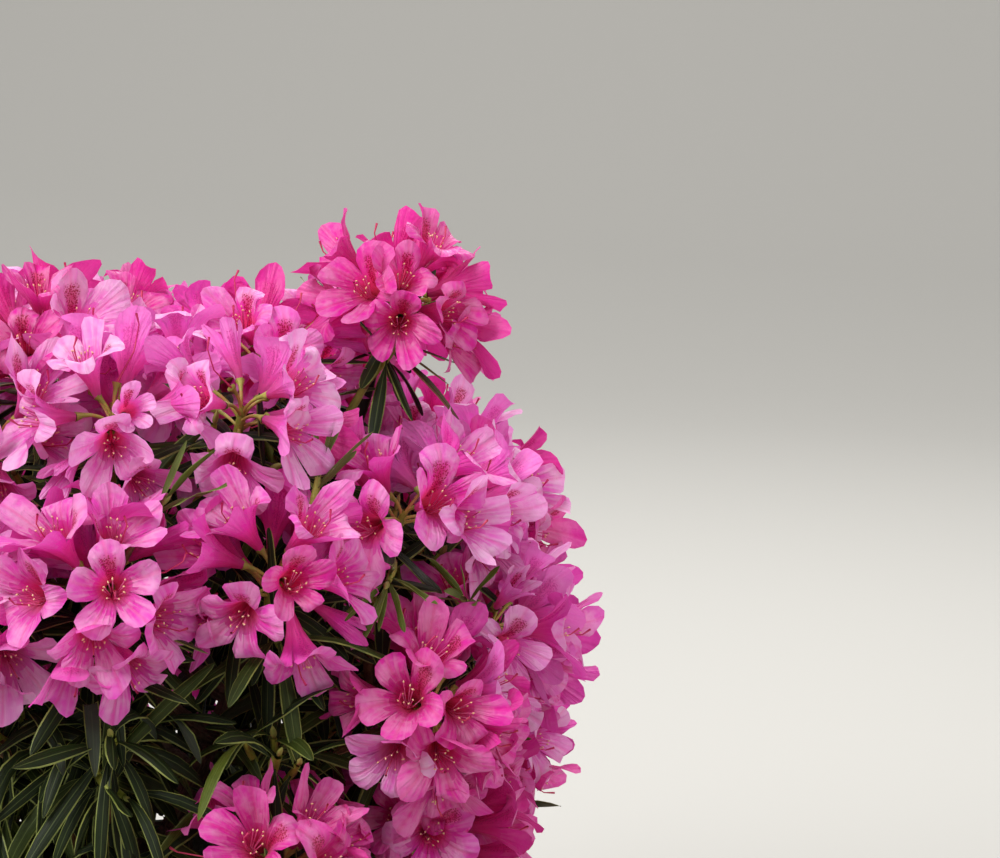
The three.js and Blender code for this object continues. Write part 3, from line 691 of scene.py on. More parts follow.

# Height sets a head's lot, a painted light and shade: high heads get the pale, sunlit tint, low ones the
# deep, shaded one.
light_and_tone_lots = np.array([(head["end"][2] - SOIL_TOP) / (cad_box[1].z - SOIL_TOP) for head in blooming])
light_and_tone_lots = light_and_tone_lots + rng.normal(0, TINT_SCATTER, len(blooming))
pale_from, deep_to = np.quantile(light_and_tone_lots, [1 - PALE_SHARE, DEEP_SHARE])
for head, lot in zip(blooming, light_and_tone_lots):
    head["tint"] = PALE if lot > pale_from else DEEP if lot < deep_to else ROSE
tallest = sorted(blooming, key=lambda head: head["end"][2])[-FRESH_HEADS:]
# The sheltered head gets the deep tint as painted shade.
for head in tallest + [head for head in blooming if head["sheltered"]]:
    head["tint"] = DEEP
tint = np.array([f["head"]["tint"] for f in flowers])
stray = rng.random(flower_count) < STRAY_SHARE
tint[stray] = rng.integers(0, 3, stray.sum())
print("flowers by tint", [int(((tint == k) & ~spent).sum()) for k in (PALE, ROSE, DEEP)])

# %% [markdown]
# A petal's regions are parts of its mesh: the throat, the heart above it, the blade, and the two parts of
# the upper lobe that carry spots. Each face is told its region here, and each region gets a material of
# its own further on.

# %% Petals by region
HEART_FROM = 0.24  # these three are shares of the way from a flower's foot to its lobe's tip
BLADE_FROM = 0.56
SPOTS_END = 0.86
SPOTS_WIDTH = 0.62  # of half the upper lobe's width
SPOTS_MARGIN = 0.05


def corollas(chosen):
    """The chunk of the chosen flowers' corollas, with their slots in the order of PETAL_REGIONS."""
    place, along, across = funnels(flower_feet[chosen], facing[chosen], upper[chosen], flower_size[chosen],
                                   openness[chosen])
    face_along = (along[:-1] + along[1:]) / 2
    regions = np.where(face_along < HEART_FROM, 0, np.where(face_along < BLADE_FROM, 1, 2))
    face_across = column_across + 0.1  # a face's middle is about this far on from its first column
    in_band = (column_lobe == 0) & (np.abs(face_across) < SPOTS_WIDTH + SPOTS_MARGIN)
    spotted = in_band & (face_along < SPOTS_END)
    regions[spotted & (regions > 0)] += 2
    faces = grid_faces(len(place), FLOWER_ROWS, len(column_lobe), True)
    lots = np.broadcast_to(rng.random(len(place))[:, None, None], place.shape[:-1])
    rims = np.broadcast_to(ROW_SHARES[:, None], along.shape)
    slots = np.tile(regions.reshape(-1), len(place))
    return chunk(place, faces, slots, along=along, across=across, rim=rims, lot=lots)


# %% [markdown]
# Inside each funnel stand the stamens: pink threads that spread a little and curve up, each with a cream
# anther, and one longer style. They are thin, so three-sided tubes are enough, and an anther is a
# drawn-out octahedron.

# %% Stamens and styles
STAMENS = 9
STAMEN_REACH = (0.018, 0.026)
STAMEN_SPREAD = (0.0034, 0.0066)
STAMEN_SCATTER = (0, 0.5)  # radians round the flower
STAMEN_FOOT = 0.002  # above the flower's foot
STAMEN_SAG = 0.0065
STAMEN_UPTURN = 0.002
STAMENS_LOW = 0.0018  # below the funnel's middle
THREAD_RADIUS = 0.00033
ANTHER = (0.0011, 0.00056)  # half its length and half its width
ANTHER_SCATTER = 0.006
STYLE_PLACES = [(0, 0), (0.016, -0.0055), (0.029, -0.0045), (0.034, -0.0012)]  # outwards and upwards
STYLE_RADII = [0.0008, 0.0004, 0.00036, 0.0007]


def stamens(foot, facing, upper, size):
    """Threads with anthers for every flower given. Slots: 0 thread, 1 anther."""
    count = len(foot)
    side = np.cross(upper, facing)
    turn = np.arange(STAMENS) * 2 * np.pi / STAMENS + rng.uniform(*STAMEN_SCATTER, (count, STAMENS))
    reach = rng.uniform(*STAMEN_REACH, (count, STAMENS))
    spread = rng.uniform(*STAMEN_SPREAD, (count, STAMENS))
    share = np.array([0, 0.5, 1.0])
    out = spread[..., None] * share**1.5
    rise = -STAMEN_SAG * share * (1 - share) + STAMEN_UPTURN * share**3 - STAMENS_LOW
    foot, side, upper, facing = (v[:, None, None] for v in (foot, side, upper, facing))
    lines = side * (out * np.sin(turn)[..., None])[..., None]
    lines = lines + upper * (out * np.cos(turn)[..., None] + rise)[..., None]
    lines = lines + facing * (STAMEN_FOOT + reach[..., None] * share)[..., None]
    lines = foot + size[:, None, None, None] * lines
    lines = lines.reshape(-1, len(share), 3)
    threads = tubes(lines, np.full(lines.shape[:2], THREAD_RADIUS), 3, 0)
    ends = lines[:, -1]
    return [threads, anthers(ends, unit(ends - lines[:, -2] + rng.normal(0, ANTHER_SCATTER, ends.shape)))]


def styles(foot, facing, upper, size):
    """The chunk of one style for every flower given. Slot: 2."""
    lines = np.stack([foot + size[:, None] * (on * facing + up * upper) for on, up in STYLE_PLACES], axis=1)
    return tubes(lines, np.tile(STYLE_RADII, (len(foot), 1)), 4, 2)


def anthers(places, directions):
    """Octahedra drawn out along their directions."""
    first = across_of(directions, np.broadcast_to([0.31, 0.52, 0.79], directions.shape))
    second = np.cross(directions, first)
    long, wide = ANTHER
    corners = np.stack([places - long * directions, places + wide * first, places + wide * second,
                        places - wide * first, places - wide * second, places + long * directions], axis=1)
    one = np.array([[0, 2, 1], [0, 3, 2], [0, 4, 3], [0, 1, 4], [5, 1, 2], [5, 2, 3], [5, 3, 4], [5, 4, 1]])
    faces = one[None] + (np.arange(len(places)) * 6)[:, None, None]
    return chunk(corners, faces, 1)


# %% [markdown]
# Flower stalks leave the head's short axis close to its line and bend out to their flowers. Each swells
# at its end into the small green cup that the funnel sits in.

# %% Stalks
STALK_RADII = [0.0011, 0.0009, 0.0009, 0.001, 0.0013, 0.0027]  # from the head's axis to the cup's brim
STALK_SIDES = 6
STALK_LIFT = 0.5  # how far a stalk sets off along the head's axis, rather than to its flower
STALK_BEND = 0.45


def stalks():
    """The chunk of every flower's stalk. Slots: 0 stalk, 1 cup."""
    start = np.array([f["start"] for f in flowers])
    out = np.array([f["out"] for f in flowers])
    length = np.linalg.norm(flower_feet - start, axis=1)[:, None]
    bend = start + (out + STALK_LIFT * head_axes) * STALK_BEND * length
    share = np.linspace(0, 1, len(STALK_RADII))[None, :, None]
    lines = (1 - share) ** 2 * start[:, None] + 2 * share * (1 - share) * bend[:, None]
    lines = lines + share**2 * flower_feet[:, None]
    radii = np.tile(STALK_RADII, (len(flowers), 1))
    slots = np.tile(np.repeat([0, 0, 0, 1, 1], STALK_SIDES), len(flowers))
    return tubes(lines, radii, STALK_SIDES, slots)


# %% [markdown]
# ## Leaves
#
# The leaves are narrow and leathery. They stand in whorls under the flower heads and round the tips of
# the leafy shoots, arch outwards and hang at their tips. Every leaf is a strip of ten stations by five
# points. The two outer columns are a pale edge on each leaf, a painted highlight where the margins catch
# the light, and have a material of their own, because a colour that has its place is best kept to its own
# faces. The strip follows a line that turns towards the ground as it goes.

# %% Blades
LEAF_STATIONS = np.array([0, 0.07, 0.16, 0.3, 0.45, 0.6, 0.75, 0.88, 0.96, 1.0])
LEAF_HALF_WIDTHS = np.array([0.16, 0.15, 0.42, 0.8, 0.97, 1.0, 0.92, 0.66, 0.36, 0.05])
LEAF_COLUMNS = np.array([-1, -0.86, 0, 0.86, 1])
LEAF_LENGTH = (0.046, 0.084)
LEAF_WIDTH = (0.0062, 0.0098)
LEAF_FOLD = (0.05, 0.3)  # how far both halves fold up, of half the leaf's width
LEAF_CURL = 0.42  # how far the edges turn back down from there, likewise
LEAF_WAVE = (0, 0.0011)
LEAF_WAVES = (9, 2)  # radians from foot to tip, and between the midrib and an edge
DROOP_STARTS = 1.2  # the higher, the nearer to its tip a leaf bends down


def blades(foot, direction, face, length, width, droop):
    """Points and face slots of leaves. Each sets off in its direction with its upper side facing face."""
    count = len(foot)
    step = np.diff(LEAF_STATIONS, prepend=0)
    onward = unit(direction[:, None] - UP * (droop[:, None] * LEAF_STATIONS**DROOP_STARTS)[..., None])
    middle = foot[:, None] + np.cumsum(onward * (step * length[:, None])[..., None], axis=1)
    side = unit(np.cross(direction, face))
    side = across_of(onward, np.broadcast_to(side[:, None], onward.shape))
    normal = np.cross(side, onward)
    half = 0.5 * width[:, None] * LEAF_HALF_WIDTHS
    across = LEAF_COLUMNS
    fold = rng.uniform(*LEAF_FOLD, count)[:, None, None]
    wave = rng.uniform(*LEAF_WAVE, count)[:, None, None]
    phase = rng.uniform(*ANY_TURN, count)[:, None, None]
    waves_at = phase + LEAF_WAVES[0] * LEAF_STATIONS[None, :, None] + LEAF_WAVES[1] * np.sign(across)
    wave = wave * np.sin(waves_at)
    lift = half[..., None] * (fold * np.abs(across) - LEAF_CURL * across**4) + wave * np.abs(across)
    points = middle[:, :, None] + side[:, :, None] * (half[..., None] * across)[..., None]
    points = points + normal[:, :, None] * lift[..., None]
    # The two outer columns take the slot of the pale edge, a painted highlight where the margins catch
    # light.
    edge = np.zeros((len(LEAF_STATIONS) - 1, len(across) - 1), int)
    edge[:, [0, -1]] = 1
    return points, np.tile(edge.reshape(-1), count)


def leaves(chosen, first_slot):
    """The chunk of the chosen leaves. Slots: the blade's, and after it the edge's, a painted highlight."""
    points, slots = blades(*(values[chosen] for values in leaf_values))
    faces = grid_faces(len(points), len(LEAF_STATIONS), len(LEAF_COLUMNS), False)
    along, across = np.meshgrid(LEAF_STATIONS, LEAF_COLUMNS, indexing="ij")
    lots = np.broadcast_to(rng.random(len(points))[:, None, None], points.shape[:-1])
    return chunk(points, faces, slots + first_slot, along=along, across=across, lot=lots)


# %% [markdown]
# Finer twigs fork from every twig, each with a whorl of leaves of its own. They fill the room between the
# heads and make the dense dark skirt below them. A leafy twig carries more of them than a flowering one.

# %% Sprigs and whorls
SPRIG_COUNTS = {"bloom": 2, "inner": 3, "leafy": 4}
SPRIG_BACK = (0.034, 0.062)  # from the twig's end back to where a sprig forks off
SPRIG_LOWEST = 0.15  # and no nearer to the twig's foot than this share of its length
SPRIG_TILT = (30, 52)
SPRIG_SCATTER = (-0.5, 0.5)  # radians round the twig
SPRIG_LENGTH = (0.030, 0.044)
SPRIG_OUT = 0.75  # how far it ends off the twig's line, and how far on along it, of its length
SPRIG_ON = 0.3
SPRIG_BEND = 0.5

WHORL_SPREAD = {  # degrees from the twig, top row and lowest, and by how much single leaves differ
    "bloom": (88, 122, 11),
    "leafy": (42, 122, 19),
    "tuft": (8, 62, 15),
}
WHORL_DEPTH = {  # from the twig's end back to the top row and to the lowest
    "bloom": (0.013, 0.027),
    "leafy": (0.001, 0.020),
    "tuft": (0.001, 0.008),
}
TWIG_SURFACE = 0.0015  # a leaf starts this far from its twig's middle line
ROW_SCALES = (0.8, 1.0)  # the top row's leaves are smaller than the lowest row's


def sprigs_of(shoot):
    """Short side twigs of a shoot, as lines."""
    kind = "bloom" if shoot["blooms"] else "inner" if shoot["inner"] else "leafy"
    count = SPRIG_COUNTS[kind]
    made = []
    for i in range(count):
        back = rng.uniform(*SPRIG_BACK)
        share = max(SPRIG_LOWEST, 1 - back / shoot["line"].length)
        start = shoot["line"].at(share)
        along = shoot["line"].tangent(share)
        turn = shoot["turn"] + i * 2 * np.pi / count + rng.uniform(*SPRIG_SCATTER)
        out = tilted(along, math.radians(rng.uniform(*SPRIG_TILT)), turn)
        length = rng.uniform(*SPRIG_LENGTH)
        end = start + out * length * SPRIG_OUT + along * length * SPRIG_ON
        made.append(Line(start, start + out * length * SPRIG_BEND, end))
    return made


def whorl(line, kind, count, turn):
    """Leaves round the last stretch of a twig's line: rows of foot, direction, face and scale."""
    low, high, jitter = WHORL_SPREAD[kind]
    rows = []
    for i in range(count):
        share_down = (i + 0.5) / count
        share = 1 - mix(*WHORL_DEPTH[kind], share_down) / line.length
        along = line.tangent(share)
        tilt = math.radians(mix(low, high, share_down) + rng.normal(0, jitter))
        out = tilted(along, tilt, turn + GOLDEN_TURN * i)
        rows.append((line.at(share) + TWIG_SURFACE * out, out, along, mix(*ROW_SCALES, share_down)))
    return rows


# %% Growing every whorl
TWIG_LEAVES = {"bloom": 11, "leafy": 14}
SPRIG_LEAVES = {"bloom": 8, "leafy": 10}  # by the kind of twig that they fork from
TUFT_LEAVES = 12

leaf_rows = []
sprig_lines = []
leaf_place = []  # what each leaf grows on: a flowering twig, a leafy one or a tuft
for shoot in shoots:
    kind = "bloom" if shoot["blooms"] else "leafy"
    first_row = len(leaf_rows)
    leaf_rows += whorl(shoot["line"], kind, TWIG_LEAVES[kind], shoot["turn"])
    for line in sprigs_of(shoot):
        sprig_lines.append(line)
        leaf_rows += whorl(line, "leafy", SPRIG_LEAVES[kind], rng.uniform(*ANY_TURN))
    leaf_place += [kind] * (len(leaf_rows) - first_row)
for line in tufts:
    leaf_rows += whorl(line, "tuft", TUFT_LEAVES, rng.uniform(*ANY_TURN))
    leaf_place += ["tuft"] * TUFT_LEAVES
under_head = np.array(leaf_place) == "bloom"
in_tuft = np.array(leaf_place) == "tuft"
leaf_count = len(leaf_rows)
print(leaf_count, "leaves on", len(shoots), "twigs,", len(sprig_lines), "sprigs and", len(tufts), "tufts")

# %% Sizes and bends of the leaves
BLOOM_DROOP = (0.0, 0.9)
LEAFY_DROOP = (0.1, 2.3)
TUFT_SCALE = 0.56
TUFT_NARROWING = 0.85
TUFT_DROOP = 0.2
WIDTH_KEPT = 0.6  # of its width, by a leaf whose scale goes to nothing
FACE_LIFT = 0.45  # how much a leaf's upper surface turns up, rather than along its twig
FACE_SCATTER = 0.34

leaf_foot, leaf_out, leaf_face = (np.array([row[k] for row in leaf_rows]) for k in range(3))
leaf_scale = np.array([row[3] for row in leaf_rows])
leaf_length = rng.uniform(*LEAF_LENGTH, leaf_count) * leaf_scale
leaf_width = rng.uniform(*LEAF_WIDTH, leaf_count) * (WIDTH_KEPT + (1 - WIDTH_KEPT) * leaf_scale)
bloom_droop = rng.uniform(*BLOOM_DROOP, leaf_count)
leaf_droop = np.where(under_head, bloom_droop, rng.uniform(*LEAFY_DROOP, leaf_count))
leaf_length[in_tuft] *= TUFT_SCALE
leaf_width[in_tuft] *= TUFT_SCALE * TUFT_NARROWING
leaf_droop[in_tuft] *= TUFT_DROOP
leaf_face = unit(leaf_face + FACE_LIFT * UP + rng.normal(0, FACE_SCATTER, leaf_face.shape))
leaf_values = [leaf_foot, leaf_out, leaf_face, leaf_length, leaf_width, leaf_droop]
print("leaves are", round(float(leaf_length.min()), 3), "to", round(float(leaf_length.max()), 3), "m long")

# %% [markdown]
# A leaf grows where there is room for it. Those that would hang outside the crown, lie against the pot,
# stand in a flower's mouth or push through a head are left out, so all of them are worked out once to
# find the ones to keep.

# %% Leaves that keep clear of the pot
BOX_MARGIN = 0.012
POT_CLEAR = 0.004

pot_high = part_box("pot")[1]
points, _ = blades(*leaf_values)
places = points.reshape(leaf_count, -1, 3)
low = np.array(cad_box[0]) - BOX_MARGIN
high = np.array(cad_box[1]) + BOX_MARGIN
in_box = ((places > low) & (places < high)).all(axis=(1, 2))
over_pot = np.hypot(places[..., 0], places[..., 1]) < pot_high.x + POT_CLEAR
in_pot = over_pot & (places[..., 2] < pot_high.z + POT_CLEAR)
kept = in_box & ~in_pot.any(axis=1)
print(int(kept.sum()), "leaves kept clear of the pot and inside the crown")

# %% Leaves that keep clear of the flowers
HEAD_CLEAR = 0.014  # a leaf under a flower head ends this far inside the crown's outline
FLOWER_NEAR = 0.09  # leaves whose middles are further off than this can't reach a flower
MOUTH_FROM = 0.35  # a mouth's lower and upper ends, of a flower's height
MOUTH_TO = 1.1
THROAT_WIDTH = 0.08  # how wide it is at its foot, and how much it opens, of a flower's radius
MOUTH_OPENING = 0.66


def in_flower(lines):
    """Whether each row of points has one inside the mouth of any flower."""
    found = np.zeros(len(lines), bool)
    half_way = lines.shape[1] // 2 - 1
    for foot, ahead, size, wide in zip(flower_feet, facing, flower_size, openness):
        near = np.flatnonzero(~found & (np.abs(lines[:, half_way] - foot).max(axis=1) < FLOWER_NEAR))
        away = lines[near] - foot
        high = (away @ ahead) / (FLOWER_HEIGHT * size)
        out = np.linalg.norm(away - (away @ ahead)[..., None] * ahead, axis=-1) / (FLOWER_RADIUS * size)
        wall = THROAT_WIDTH + MOUTH_OPENING * wide * np.clip(high, 0, 1) ** 2
        inside = (high > MOUTH_FROM) & (high < MOUTH_TO) & (out < wall)
        found[near[inside.any(axis=1)]] = True
    return found


middles = points[:, :, len(LEAF_COLUMNS) // 2]
kept &= ~in_flower(middles)
tip_away = middles[:, -1] - FORK
tip_far = np.linalg.norm(tip_away, axis=1)
tip_allowed = np.array([crown_reach(away / far) for away, far in zip(tip_away, tip_far)]) - HEAD_CLEAR
kept &= ~(under_head & (tip_far > tip_allowed))
print(int(kept.sum()), "leaves that no flower holds")

# %% [markdown]
# ## Finishes
#
# Petals, leaves, bark and pot all vary a little over their surface in ways that have no fixed place:
# clouds of a lighter colour, fine streaks that run along, grain. On the petals the lighter clouds and
# streaks are a painted sheen, the streaks partly veins as well. Each such effect is a node group, built
# once and placed in every material that needs it with values of its own. A colour that does have a place,
# such as a flower's dark throat or a leaf's pale edge, a painted highlight, is a plain material on its
# own faces instead.

# %% Tools for node trees
def shade(red, green, blue):
    """A colour from 0-255 values, as the linear numbers that shaders take."""
    values = [x / 255 for x in (red, green, blue)]
    return tuple(x / 12.92 if x <= 0.04045 else ((x + 0.055) / 1.055) ** 2.4 for x in values) + (1.0,)


def add(tree, kind, inputs, **settings):
    """A node with its settings, each named input given a value or linked to another node's output."""
    made = tree.nodes.new(kind)
    for name, value in settings.items():
        setattr(made, name, value)
    for name, value in inputs.items():
        if isinstance(value, bpy.types.NodeSocket):
            tree.links.new(value, made.inputs[name])
        else:
            made.inputs[name].default_value = value
    return made


def math_node(tree, operation, *values):
    """The output of a sum, product or the like of some values."""
    return add(tree, "ShaderNodeMath", dict(enumerate(values)), operation=operation).outputs[0]


def mixed(tree, factor, first, second):
    """The colour that lies between two others."""
    inputs = {0: factor, 6: first, 7: second}
    return add(tree, "ShaderNodeMix", inputs, data_type="RGBA").outputs[2]


def ramp(tree, value, low, high):
    """0 below low and 1 above high, with a smooth rise between them."""
    inputs = {"Value": value, "From Min": low, "From Max": high}
    return add(tree, "ShaderNodeMapRange", inputs, interpolation_type="SMOOTHSTEP").outputs["Result"]


def new_group(name, takes, gives):
    """An empty node group with named inputs and outputs, its input sockets and its output sockets."""
    group = bpy.data.node_groups.new(name, "ShaderNodeTree")
    for label, value in takes.items():
        kind = "NodeSocketFloat" if isinstance(value, (int, float)) else "NodeSocketColor"
        group.interface.new_socket(label, in_out="INPUT", socket_type=kind).default_value = value
    for label in gives:
        kind = "NodeSocketColor" if label == "Colour" else "NodeSocketFloat"
        group.interface.new_socket(label, in_out="OUTPUT", socket_type=kind)
    return group, group.nodes.new("NodeGroupInput").outputs, group.nodes.new("NodeGroupOutput").inputs


def use(tree, group, **values):
    """A node group placed in a tree. Underscores in the names stand for spaces."""
    made = tree.nodes.new("ShaderNodeGroup")
    made.node_tree = group
    for name, value in values.items():
        socket = made.inputs[name.replace("_", " ")]
        if isinstance(value, bpy.types.NodeSocket):
            tree.links.new(value, socket)
        else:
            socket.default_value = value
    return made.outputs


# %% Mottling: clouds of a second colour, with grain
CLOUDS_PART = 0.7  # how much of the mottling is clouds, and how much grain
GRAIN_PART = 0.3
CLOUDS_FROM = 0.61  # where clouds start in the noise when there is no cover
COVER_REACH = -0.5  # and how far full cover moves that
CLOUDS_SOFTNESS = 0.28

mottling, takes, gives = new_group(
    "Mottling",
    {
        "Colour": shade(128, 128, 128),
        "Second Colour": shade(160, 160, 160),
        "Scale": 40.0,
        "Cover": 0.5,
        "Amount": 0.5,
        "Grain": 8.0,
    },
    ["Colour", "Height"],
)
where = add(mottling, "ShaderNodeTexCoord", {}).outputs["Object"]
cloud_inputs = {"Vector": where, "Scale": takes["Scale"], "Detail": 3.0}
clouds = add(mottling, "ShaderNodeTexNoise", cloud_inputs).outputs["Fac"]
fine = math_node(mottling, "MULTIPLY", takes["Scale"], takes["Grain"])
grain = add(mottling, "ShaderNodeTexNoise", {"Vector": where, "Scale": fine, "Detail": 4.0}).outputs["Fac"]
clouds = math_node(mottling, "MULTIPLY", clouds, CLOUDS_PART)
both = math_node(mottling, "ADD", clouds, math_node(mottling, "MULTIPLY", grain, GRAIN_PART))
covered_from = math_node(mottling, "MULTIPLY_ADD", takes["Cover"], COVER_REACH, CLOUDS_FROM)
share = ramp(mottling, both, covered_from, math_node(mottling, "ADD", covered_from, CLOUDS_SOFTNESS))
amount = math_node(mottling, "MULTIPLY", share, takes["Amount"])
mottling.links.new(mixed(mottling, amount, takes["Colour"], takes["Second Colour"]), gives["Colour"])
mottling.links.new(grain, gives["Height"])
print("node group:", mottling.name)

# %% Lengthwise streaks: what runs along a petal or a leaf, read from the marks at its points
STREAK_STRETCH = 1.6  # how often streaks change along their length
LOTS_APART = 60.0  # far enough for two petals or leaves to share no streak
STREAK_EDGES = (0.38, 0.66)
MIDRIB_DEPTH = 0.8

streaking, takes, gives = new_group(
    "Lengthwise streaks",
    {
        "Colour": shade(128, 128, 128),
        "Streak Colour": shade(160, 160, 160),
        "Streaks": 7.0,
        "Amount": 0.5,
        "Midrib": 0.06,
    },
    ["Colour", "Midrib", "Height"],
)
along_mark = add(streaking, "ShaderNodeAttribute", {}, attribute_name="along").outputs["Fac"]
across_mark = add(streaking, "ShaderNodeAttribute", {}, attribute_name="across").outputs["Fac"]
lot_mark = add(streaking, "ShaderNodeAttribute", {}, attribute_name="lot").outputs["Fac"]
over = math_node(streaking, "MULTIPLY", across_mark, takes["Streaks"])
onward = math_node(streaking, "MULTIPLY", along_mark, STREAK_STRETCH)
apart = math_node(streaking, "MULTIPLY", lot_mark, LOTS_APART)
place = add(streaking, "ShaderNodeCombineXYZ", {"X": over, "Y": onward, "Z": apart}).outputs["Vector"]
streak_inputs = {"Vector": place, "Scale": 1.0, "Detail": 2.0}
streaks = add(streaking, "ShaderNodeTexNoise", streak_inputs).outputs["Fac"]
share = ramp(streaking, streaks, *STREAK_EDGES)
off_midrib = ramp(streaking, math_node(streaking, "ABSOLUTE", across_mark), 0.0, takes["Midrib"])
midrib = math_node(streaking, "SUBTRACT", 1.0, off_midrib)
amount = math_node(streaking, "MULTIPLY", share, takes["Amount"])
sunk = math_node(streaking, "MULTIPLY", midrib, MIDRIB_DEPTH)
streaking.links.new(mixed(streaking, amount, takes["Colour"], takes["Streak Colour"]), gives["Colour"])
streaking.links.new(midrib, gives["Midrib"])
streaking.links.new(math_node(streaking, "SUBTRACT", share, sunk), gives["Height"])
print("node group:", streaking.name)

# %% [markdown]
# A petal is thin and damp: light passes through it, so part of its shader is translucent, and the outside
# is a little paler and duller than the inside. Each tint has a material for each region of faces: the
# throat, the heart, the blade, and the spotted heart and blade of the upper lobe. Inside a region the
# colour moves only a little, from that of the region before it to that of the next. The paler streaks and
# clouds on a petal are a painted sheen, and the streaks are partly veins as well.

# %% Petal colours
# The paler streaks and clouds that "lift" gives are a painted sheen, the streaks partly veins as well.
PETAL_TINTS = [  # in the order PALE, ROSE, DEEP. "lift" is how much paler a blade's streaks and clouds are
    {
        "name": "pale",
        "lift": 0.5,
        "throat": (220, 8, 98),
        "heart": (242, 30, 144),
        "blade": (238, 84, 200),
        "rim": (242, 160, 226),
        "margin": (232, 52, 188),
    },
    {
        "name": "rose",
        "lift": 0.4,
        "throat": (210, 2, 82),
        "heart": (236, 8, 122),
        "blade": (236, 30, 182),
        "rim": (240, 92, 206),
        "margin": (220, 10, 164),
    },
    {
        "name": "deep",
        "lift": 0.28,
        "throat": (190, 0, 66),
        "heart": (220, 0, 102),
        "blade": (226, 4, 154),
        "rim": (234, 30, 176),
        "margin": (200, 0, 132),
    },
]
PETAL_REGIONS = {  # first and last colour, where they lie along the petal, and the light let through
    "throat": ("throat", "heart", 0.04, HEART_FROM, 0.52),
    "heart": ("heart", "blade", HEART_FROM, BLADE_FROM, 0.44),
    "blade": ("blade", "rim", BLADE_FROM, 1.02, 0.34),
    "spotted heart": ("heart", "blade", HEART_FROM, BLADE_FROM, 0.42),
    "spotted blade": ("blade", "rim", BLADE_FROM, 1.02, 0.34),
}
SPOT_COLOUR = shade(160, 0, 50)
SPOT_STAIN = shade(200, 2, 80)  # what the spots stand on
STAIN_AMOUNT = 0.62
SPOT_AMOUNT = 0.85
SPOTS_SCALE = 1050.0
SPOTS_FULL = (0.16, 0.62)  # across and along the lobe, where they stand closest
SPOT_SIZES = (0.54, 0.38)  # a spot's edge and its full colour, of the way between two spots
SPOTS_FROM = (0.08, 0.4)  # how strong the stain is where spots start, and where they are full
MARGIN_FROM = 0.8
MARGIN_AMOUNT = 0.22


def lighter(colour, share):
    """A colour moved towards white."""
    return tuple(mix(c, 1.0, share) for c in colour[:3]) + (1.0,)


def finish(name, roughness, specular):
    """A new material with its tree and its shader."""
    made = bpy.data.materials.new(name)
    made.use_nodes = True
    shader = made.node_tree.nodes["Principled BSDF"]
    shader.inputs["Roughness"].default_value = roughness
    shader.inputs["Specular IOR Level"].default_value = specular
    return made, made.node_tree, shader


def bump(tree, shader, height, strength, distance):
    """Relief on a shader from a height."""
    made = add(tree, "ShaderNodeBump", {"Height": height, "Strength": strength, "Distance": distance})
    tree.links.new(made.outputs["Normal"], shader.inputs["Normal"])


def with_marks(tree, tint, region, along, colour):
    """A petal's colour with what has its place there: a blade's margin, and the spots of the upper lobe."""
    if "blade" in region:
        edge = add(tree, "ShaderNodeAttribute", {}, attribute_name="rim").outputs["Fac"]
        margin = math_node(tree, "MULTIPLY", ramp(tree, edge, MARGIN_FROM, 1.0), MARGIN_AMOUNT)
        colour = mixed(tree, margin, colour, shade(*tint["margin"]))
    if "spotted" in region:
        where = add(tree, "ShaderNodeTexCoord", {}).outputs["Object"]
        cell_inputs = {"Vector": where, "Scale": SPOTS_SCALE}
        cells = add(tree, "ShaderNodeTexVoronoi", cell_inputs).outputs["Distance"]
        across = add(tree, "ShaderNodeAttribute", {}, attribute_name="across").outputs["Fac"]
        middle = ramp(tree, math_node(tree, "ABSOLUTE", across), SPOTS_WIDTH, SPOTS_FULL[0])
        band = math_node(tree, "MULTIPLY", middle, ramp(tree, along, SPOTS_END, SPOTS_FULL[1]))
        stained = mixed(tree, math_node(tree, "MULTIPLY", band, STAIN_AMOUNT), colour, SPOT_STAIN)
        dots = math_node(tree, "MULTIPLY", ramp(tree, cells, *SPOT_SIZES), ramp(tree, band, *SPOTS_FROM))
        colour = mixed(tree, math_node(tree, "MULTIPLY", dots, SPOT_AMOUNT), stained, SPOT_COLOUR)
    return colour


# %% Petal materials
PETAL_ROUGHNESS = 0.46
PETAL_SPECULAR = 0.28
PETAL_SHEEN = 0.08
PETAL_RELIEF = (0.6, 0.0007)  # strength and height
CLOUD_RELIEF = 2.2  # how much the clouds' grain adds to that of the streaks
HEART_SHEEN_LIFT = 0.4  # a throat's and a heart's streaks and clouds are less pale than a blade's
VEIN_AMOUNT = 0.3
OUTSIDE_AMOUNT = 0.6
OUTSIDE_PALENESS = 0.03
GLOW_PALENESS = 0.4  # how far the light that comes through is from the deep colour to the pale
GLOW_DEPTH = 1.15


